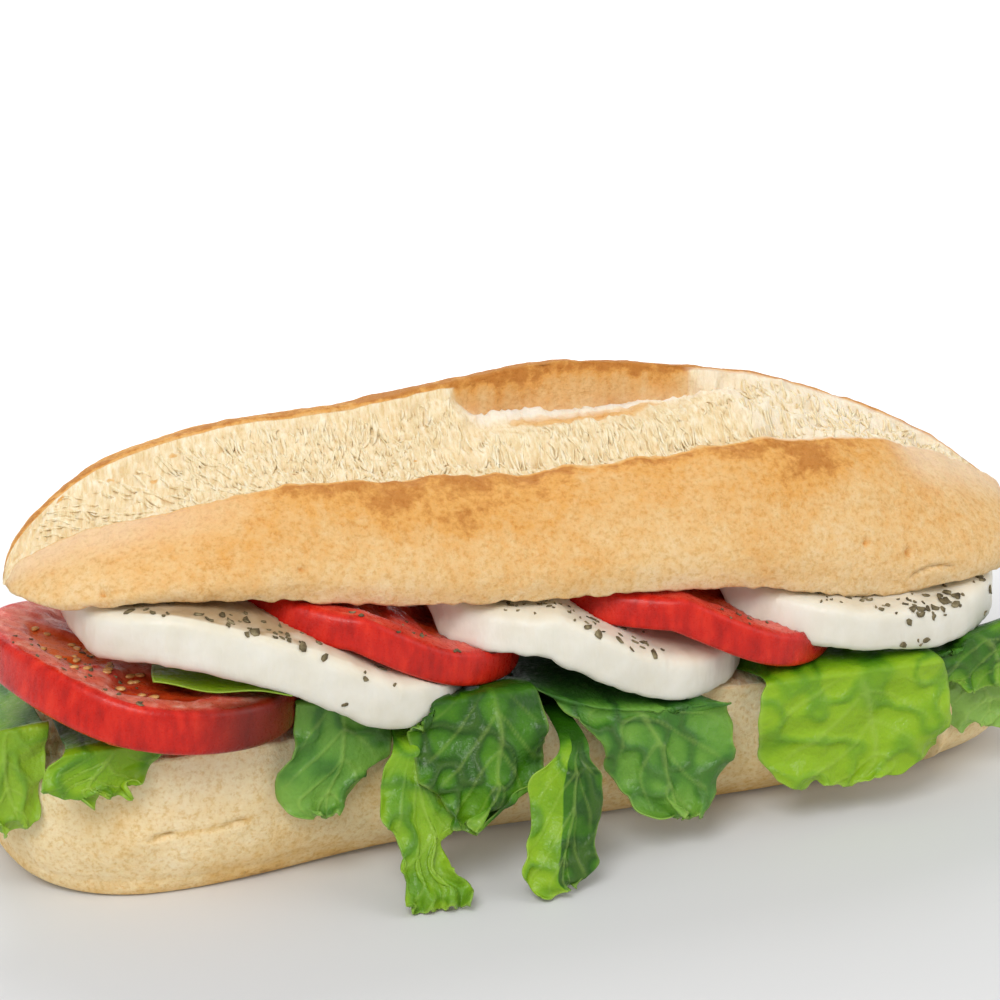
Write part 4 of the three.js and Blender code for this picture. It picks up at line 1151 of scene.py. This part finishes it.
def torn_relief(at):
    """Fibres, hollows and chunks of the crumb in the scores, and the ridge before the wall."""
    wide = TROUGH_WIDTH * at.inside
    strand = stack(at.x - 0.2 * wide, wide, 0 * at.x)
    coarse = (1 - np.abs(noise(strand, (1.7, 9, 1), 51))) ** 2
    at.fibres = coarse + 0.6 * (1 - np.abs(noise(strand, (1.0, 6, 1), 53))) ** 2
    at.hollows = step(0.25, 0.7, noise(at.points, (5.5, 4, 4), 55))
    relief = 0.55 * (at.fibres - 0.8) - 0.8 * at.hollows + 0.5 * fractal(at.points, 4, 3, 57)
    relief = relief + span(at.x, 40, 48, 66, 76) * (1.7 * fractal(at.points, 6, 3, 59) + 0.9)
    ridge = mix(2.7, 1.6, step(0, 25, at.x)) * at.second * bell(at.inside - 0.74, 0.08)
    return relief + ridge * (1 - step(38, 46, at.x))


def crown_relief(at):
    """Lifts the top bun's places by the relief of crust, crumb, lips, pores, flap and pin holes."""
    points, x = at.points, at.x
    normals = loaf_normals(points, CROWN_STEPS[0] + CROWN_STEPS[1] // 2)
    at.in_trough = at.on_trough * span(at.inside, 0.01, 0.09, 0.93, 1.0)
    crumb = torn_relief(at) * at.in_trough * (1 - 0.85 * at.wall)
    crust = crust_relief(points, 61, 0.25, 9, 3.2)
    crags = 0.6 * fractal(points, 5, 3, 71)
    at_front_lip = bell(at.from_front_lip, 2.2) * (at.on_face | at.on_trough)
    at_back_lip = bell(at.from_back_lip, 1.8) * at.past_front * at.before_edge
    lift = crust * ~at.on_cut + crumb
    lift = lift + (0.5 + crags) * at_front_lip + 0.4 * crags * at_back_lip
    lift = np.where(at.on_cut, step(0.0, 0.08, 1 - np.abs(at.across)) * porous(points, 73), lift)

    beside = x - FLAP["x"]
    below_arch = points[..., 2] - FLAP["z"] + FLAP["curve"] * beside**2
    near_flap = at.on_face * step(0, 3, beside + FLAP["half"]) * step(0, 3, FLAP["half"] - beside)
    lift = lift - FLAP["depth"] * bell(below_arch, 0.45) * near_flap
    at.holes = np.zeros_like(x)
    for hole_x, hole_z, size in PIN_HOLES:
        at.holes += bell(np.hypot(x - hole_x, points[..., 2] - hole_z), size) * at.on_face
    lift = lift - 1.6 * at.holes
    edge_crumbs = 0.5 * noise(points, (2.2, 4, 4), 75) * bell(at.up, 0.05) * at.on_face
    points = points + normals * lift[..., None]
    points[..., 2] += edge_crumbs
    tops = top_of_slices(points[..., 0], points[..., 1])
    clear = np.where(tops > 0, tops + GAP, -MISSING)
    points[..., 2] = np.where(at.on_cut, np.maximum(points[..., 2], clear), points[..., 2])
    at.points = points


def crown_toast(at):
    """How brown the crust is: darkest in bands along the lips, on the wall and on bubbles."""
    points, x = at.points, at.x
    along_lip = 0.15 + bell(x + 28, 32) + 0.8 * bell(x - 48, 28)
    patchy = 0.5 + 0.5 * noise(points, 9, 81)
    wall_streaks = noise(points, (2.6, 2.6, 14), 87) + 0.7 * noise(points, (1.2, 1.2, 9), 88)
    on_back = ~at.before_back & at.before_edge
    toast = 0.34 + 0.12 * noise(points, 20, 83) + 0.17 * at.rise * at.on_face
    toast += (0.17 + 0.46 * patchy) * along_lip * bell(at.from_front_lip, 8.5) * at.on_face
    toast += 0.3 * along_lip * bell(at.from_front_lip, 0.9) * at.before_back
    back_lip = bell(x - 92, 9) * bell(at.from_back_lip, 2.6) + bell(at.from_back_lip, 1.6)
    toast += 0.45 * back_lip * at.past_front
    toast += (0.18 + 0.22 * wall_streaks + 0.25 * step(0.93, 0.99, at.inside)) * at.wall
    toast += 0.16 * bell(x + 74, 24) * bell(at.rise - 0.55, 0.35) * at.on_face
    toast += 0.25 * at.streak + 0.2 * on_back + 0.5 * at.bubbles + 0.5 * at.holes
    return toast - (0.12 * bell(at.up, 0.10) + 0.1 * (1 - at.ends)) * at.on_face


def crown_flour(at):
    """Where flour lies: before the wall, on the right of the scores, and along both ends' lips."""
    x = at.x
    before_wall = 1.7 * span(x, -14, -6, 40, 47) * bell(at.inside - 0.75, 0.09)
    flour = (before_wall + 0.6 * span(x, 72, 82, 98, 108) + 0.55 * span(x, 42, 48, 74, 84)) * at.on_trough
    by_the_ends = step(72, 84, x) + 0.8 * step(60, 95, -x)
    return flour + 0.4 * by_the_ends * bell(at.from_front_lip, 4.5) * at.on_face


def top_bun():
    at = crown_form()
    crown_relief(at)
    bubbles = sum(bell(np.hypot(at.x - x, (at.inside - share) * TROUGH_WIDTH), 1.1) for x, share in BUBBLES)
    at.bubbles = unit(bubbles * at.on_trough)
    streak = bell(at.inside - 0.58, 0.075) * at.second * span(at.x, -6, 2, 30, 38)
    at.streak = 1.4 * streak * step(-0.6, 0.0, noise(at.points, (11, 30, 30), 85)) * at.on_trough
    torn = at.on_trough * span(at.inside, 0.015, 0.06, 0.965, 0.995) * (1 - at.wall) + at.on_cut
    # Painted shade: the crumb darkens between its fibres and in its hollows.
    gap = at.in_trough * unit(1.3 - at.fibres + 0.6 * at.hollows)
    masks = {
        "torn": torn * (1 - at.bubbles) * (1 - unit(1.3 * at.streak)),
        "toast": unit(crown_toast(at)),
        "flour": unit(crown_flour(at)),
        "gap": 0.4 * unit(gap),
    }
    ringed, faces, masks = closed_rings(at.points, masks)
    make_piece("visual_bun_top", ringed, faces, top_crust, "crust", "bun_top", masks)
    return tree_of(ringed, faces)


STRANDS = 1500
STRAND_SIDES = 5
STRAND_STEPS = 6
STRAND_TIP = 0.12
STRAND_REACH = (0.035, 0.955)
BESIDE_WALL = (-14, 52)
FAR_LEFT = -80
SKIPPED = {"beside_wall": 0.5, "far_left": 0.55}


def strand_course(s, inside, length, lean):
    """Places along one strand of crumb, from its front end to its back end, without their height."""
    along = inside + length / TROUGH_WIDTH * np.linspace(-0.5, 0.5, STRAND_STEPS)
    x = mix(CROWN["left"], CROWN["right"], s) - lean * TROUGH_WIDTH * (along - inside)
    share = crown_share(x)
    ends = blunt_end(share, CROWN["bluntness"])
    front = mix(crown_middle(share), front_lip_y(share), ends)
    back = mix(crown_middle(share), back_lip_y(share), ends)
    steep = mix(along, np.minimum(1, along / WALL_SHARE), second_score(x))
    return x, mix(front, back, steep)


def strand_rings(draw, tree):
    """Rings round one thread of crumb that lies in the scores, or None where there is none."""
    s = draw.uniform(*STRAND_REACH)
    x_middle = mix(CROWN["left"], CROWN["right"], s)
    beside_wall = BESIDE_WALL[0] < x_middle < BESIDE_WALL[1]
    if beside_wall and draw.random() < SKIPPED["beside_wall"]:
        return None
    if x_middle < FAR_LEFT and draw.random() < SKIPPED["far_left"]:
        return None
    deepest = 0.5 if beside_wall else 0.94
    inside = draw.uniform(0.08, deepest - 0.05)
    room = 2 * TROUGH_WIDTH * min(deepest - inside, inside - 0.02)
    length = min(draw.uniform(3, 10), room)
    lean = draw.normal(-0.22 + 0.7 * float(step(40, 100, -x_middle)), 0.16)
    x, y = strand_course(s, inside, length, lean)
    arch = np.sin(np.linspace(0, np.pi, STRAND_STEPS))
    x = x + draw.normal(0, 0.5) * arch
    heights = [tree.ray_cast(Vector((a, b, TOP)), Vector((0, 0, -1)))[0] for a, b in zip(x, y)]
    if any(h is None for h in heights):
        return None
    z = np.pad([h.z for h in heights], 1, mode="edge")
    z = np.convolve(z, [0.25, 0.5, 0.25], mode="valid")
    z = z + draw.uniform(-0.12, 0.02) + draw.uniform(0, 0.3) * arch
    taper = np.sin(np.linspace(STRAND_TIP, np.pi - STRAND_TIP, STRAND_STEPS)) ** 0.5
    thick = (draw.uniform(0.12, 0.28) * taper)[:, None, None]
    wide = thick * draw.uniform(1.1, 2.2)
    course = stack(x, y, z)
    ahead = unit_vectors(np.gradient(course, axis=0))
    side = unit_vectors(np.cross(ahead, [0, 0, 1.0]))
    lift = np.cross(side, ahead)
    turn = np.linspace(0, 2 * np.pi, STRAND_SIDES, endpoint=False)[None, :, None]
    return course[:, None] + wide * np.cos(turn) * side[:, None] + thick * np.sin(turn) * lift[:, None]


def crumb_strands(tree):
    """Thin torn threads of crumb, in one mesh."""
    draw = np.random.default_rng(4711)
    shapes, gaps = [], []
    for _ in range(STRANDS):
        rings = strand_rings(draw, tree)
        if rings is None:
            continue
        points, faces, _ = closed_rings(rings, {})
        shapes.append((points, faces))
        gaps.append(np.full(len(points), draw.uniform(-0.4, 0.2)))
    gaps = unit(np.concatenate(gaps))
    masks = {"torn": 1 + 0 * gaps, "gap": gaps, "toast": 0 * gaps, "flour": 0 * gaps}
    make_piece("visual_crumb_strands", *joined(shapes), top_crust, "crust", None, masks)


bottom_bun()
crumb_strands(top_bun())


# Herb flakes, scattered over the slices where they show, and seeds of the first tomato slice

random = np.random.default_rng(20260)
HERBS = {
    "mozzarella_1": [
        {"count": 60, "turn": (1.08, 1.5), "radius": (0.66, 0.97), "size": (0.9, 2.8)},
        {"count": 14, "turn": (1.5, 1.85), "radius": (0.78, 1.0), "size": (0.9, 3.4), "low": -0.3},
    ],
    "tomato_1": [{"count": 26, "turn": (1.0, 1.42), "radius": (0.45, 0.95), "size": (0.7, 1.8)}],
    "tomato_2": [{"count": 22, "turn": (1.2, 1.9), "radius": (0.66, 0.97), "size": (0.7, 1.8)}],
    "mozzarella_2": [{"count": 52, "turn": (1.2, 1.62), "radius": (0.66, 0.97), "size": (0.8, 2.6)}],
    "tomato_3": [{"count": 10, "turn": (1.25, 1.6), "radius": (0.7, 0.97), "size": (0.7, 1.8)}],
    "mozzarella_3": [
        {"count": 22, "turn": (1.3, 1.5), "radius": (0.74, 0.98), "size": (0.7, 1.8)},
        {"count": 44, "turn": (1.52, 1.84), "radius": (0.8, 1.0), "size": (0.9, 3.0), "low": -0.35},
    ],
}
SEEDS = {"count": 24, "turn": (0.9, 1.5), "radius": (0.4, 0.78), "low": 0.49}
FLAKE_SIDES = 7


def flake_shape(size):
    """Thin crumpled plate with an uneven outline, round the origin."""
    turn = np.linspace(0, 2 * np.pi, FLAKE_SIDES, endpoint=False)
    radius = size / 2 * (0.7 + 0.5 * random.random(FLAKE_SIDES))
    narrow = 0.45 + 0.35 * random.random()
    x, y = radius * np.cos(turn), narrow * radius * np.sin(turn)
    curl = 0.25 * (x**2) / size + 0.1 * random.standard_normal(FLAKE_SIDES)
    thick = 0.16 + 0.1 * random.random()
    ring = stack(x, y, curl + 0.15)
    middle = np.array([[0, 0, 0.25]])
    points = np.vstack([ring, middle, ring - [0, 0, thick], middle - [0, 0, thick]])
    n = FLAKE_SIDES
    faces = []
    for i in range(n):
        k = (i + 1) % n
        faces += [[i, k, n], [n + 1 + k, n + 1 + i, 2 * n + 1], [i, n + 1 + i, n + 1 + k, k]]
    return points, faces


def set_on(points, spot, normal):
    """Points round the origin, turned at random, set on a surface."""
    axis = unit_vectors(normal)
    helper = np.array([1.0, 0, 0]) if abs(axis[0]) < 0.8 else np.array([0, 1.0, 0])
    side = unit_vectors(np.cross(axis, helper))
    ahead = np.cross(axis, side)
    spin = random.random() * 2 * np.pi
    a = math.cos(spin) * side + math.sin(spin) * ahead
    b = np.cross(axis, a)
    return spot + points @ np.stack([a, b, axis])


def scatter(name, spots, shape_at, material, slot):
    """One piece of many small shapes, each at its spot."""
    shapes = []
    for spot, normal, size in spots:
        points, faces = shape_at(size)
        shapes.append((set_on(points, spot, normal), faces))
    make_piece(name, *joined(shapes), material, slot)


def picked(name, group):
    """Random places on a slice's grid within a group's turns, in shares of pi, and radii."""
    _, radius, height, turn = slice_grids[name]
    low, high = (np.pi * t for t in group["turn"])
    near, far = group["radius"]
    angle = turn % (2 * np.pi)
    shown = (height > group.get("low", 0.0)) & (radius >= near) & (radius <= far) & (angle > low)
    rows, columns = np.nonzero(shown & (angle < high))
    picks = random.choice(len(rows), group["count"], replace=False)
    return [(rows[p], columns[p]) for p in picks]


def herb_spots():
    spots = []
    for name, groups in HERBS.items():
        points = slice_grids[name][0]
        normals = slice_normals(points)
        for group in groups:
            small, large = group["size"]
            for place in picked(name, group):
                spots.append((points[place], normals[place], mix(small, large, random.random() ** 2)))
    return spots


def seed_shape(size):
    """Flat drop, round the origin."""
    sides, rings = 10, 6
    turn = np.linspace(0, 2 * np.pi, sides, endpoint=False)[None, :]
    height = np.linspace(0, np.pi, rings)[:, None]
    x = size / 2 * np.sin(height) * np.cos(turn)
    y = 0.7 * size / 2 * np.sin(height) * np.sin(turn) * (1 - 0.25 * np.cos(turn))
    z = 0.35 * size / 2 * np.cos(height) + 0 * turn + 0.1
    points, faces, _ = closed_rings(stack(x, y, z), {})
    return points, faces


def seed_spots():
    points = slice_grids["tomato_1"][0]
    up = np.array([0.0, 0.1, 1.0])
    return [(points[place], up, 1.8 + 0.8 * random.random()) for place in picked("tomato_1", SEEDS)]


scatter("visual_herb_flakes", herb_spots(), flake_shape, herb_paint, "lettuce")
scatter("visual_tomato_seeds", seed_spots(), seed_shape, seed_paint, "tomato")


# Stage, light and camera

FLOOR_REACH = 30.0
LIGHTS = {
    "key": {"place": (-0.55, -0.75, 0.95), "target": (0, 0, 0.04), "size": 0.7, "power": 9.2},
    "fill": {"place": (0.9, -0.6, 0.6), "target": (0, 0, 0.03), "size": 0.9, "power": 2.8},
    "rear": {"place": (0.2, 1.3, 1.3), "target": (0, 0.9, 0), "size": 1.0, "power": 12},
}
AIR_LIGHT = 0.54
SENSOR_WIDTH = 36
CAMERA = {
    "azimuth": -20, "elevation": 19, "distance": 0.650, "target": (-0.0092, -0.008, 0.0661), "lens": 111.1,
}


def make_floor():
    """Plain pale floor with a painted glow that grows lighter behind the food, like a lit studio cove."""
    mesh = bpy.data.meshes.new("floor")
    corners = [(x * FLOOR_REACH, y * FLOOR_REACH, 0) for x, y in ((-1, -1), (1, -1), (1, 1), (-1, 1))]
    mesh.from_pydata(corners, [], [[0, 1, 2, 3]])
    floor = placed("floor", mesh)
    paint = Paint("floor_white", Roughness=0.7, Specular_IOR_Level=0.15)
    depth = add_node(paint.tree, "ShaderNodeSeparateXYZ", {"Vector": paint.place}).outputs["Y"]
    along = paint.times_plus(depth, 2.2, 0.25)
    glow = paint.ramp(along, [(0.0, 0.0), (0.35, 0.05), (1.0, 0.5)])
    paint.tree.links.new(glow, paint.shader.inputs["Emission Color"])
    paint.shader.inputs["Emission Strength"].default_value = 1.0
    colour = paint.ramp(along, [(0.0, (0.66, 0.665, 0.67)), (1.0, (0.82, 0.82, 0.82))])
    mesh.materials.append(paint.finish(colour))


def area_light(name, place, target, size, power):
    light = bpy.data.lights.new(name, "AREA")
    light.shape = "DISK"
    light.size = size
    light.energy = power
    lamp = placed(name, light)
    lamp.location = place
    lamp.rotation_euler = (Vector(target) - Vector(place)).to_track_quat("-Z", "Y").to_euler()


make_floor()
for name, light in LIGHTS.items():
    area_light(name, **light)
world = bpy.context.scene.world or bpy.data.worlds.new("studio")
bpy.context.scene.world = world
world.use_nodes = True
air = world.node_tree.nodes["Background"].inputs
air["Color"].default_value = (1, 1, 1, 1)
air["Strength"].default_value = AIR_LIGHT
bpy.context.scene.view_settings.view_transform = "Standard"

azimuth, elevation = math.radians(CAMERA["azimuth"]), math.radians(CAMERA["elevation"])
back = Vector((
    math.sin(azimuth) * math.cos(elevation),
    -math.cos(azimuth) * math.cos(elevation),
    math.sin(elevation),
))
camera = placed("camera", bpy.data.cameras.new("camera"))
camera.data.lens = CAMERA["lens"]
camera.data.sensor_width = SENSOR_WIDTH
camera.location = Vector(CAMERA["target"]) + CAMERA["distance"] * back
camera.rotation_euler = (-back).to_track_quat("-Z", "Y").to_euler()
bpy.context.scene.camera = camera
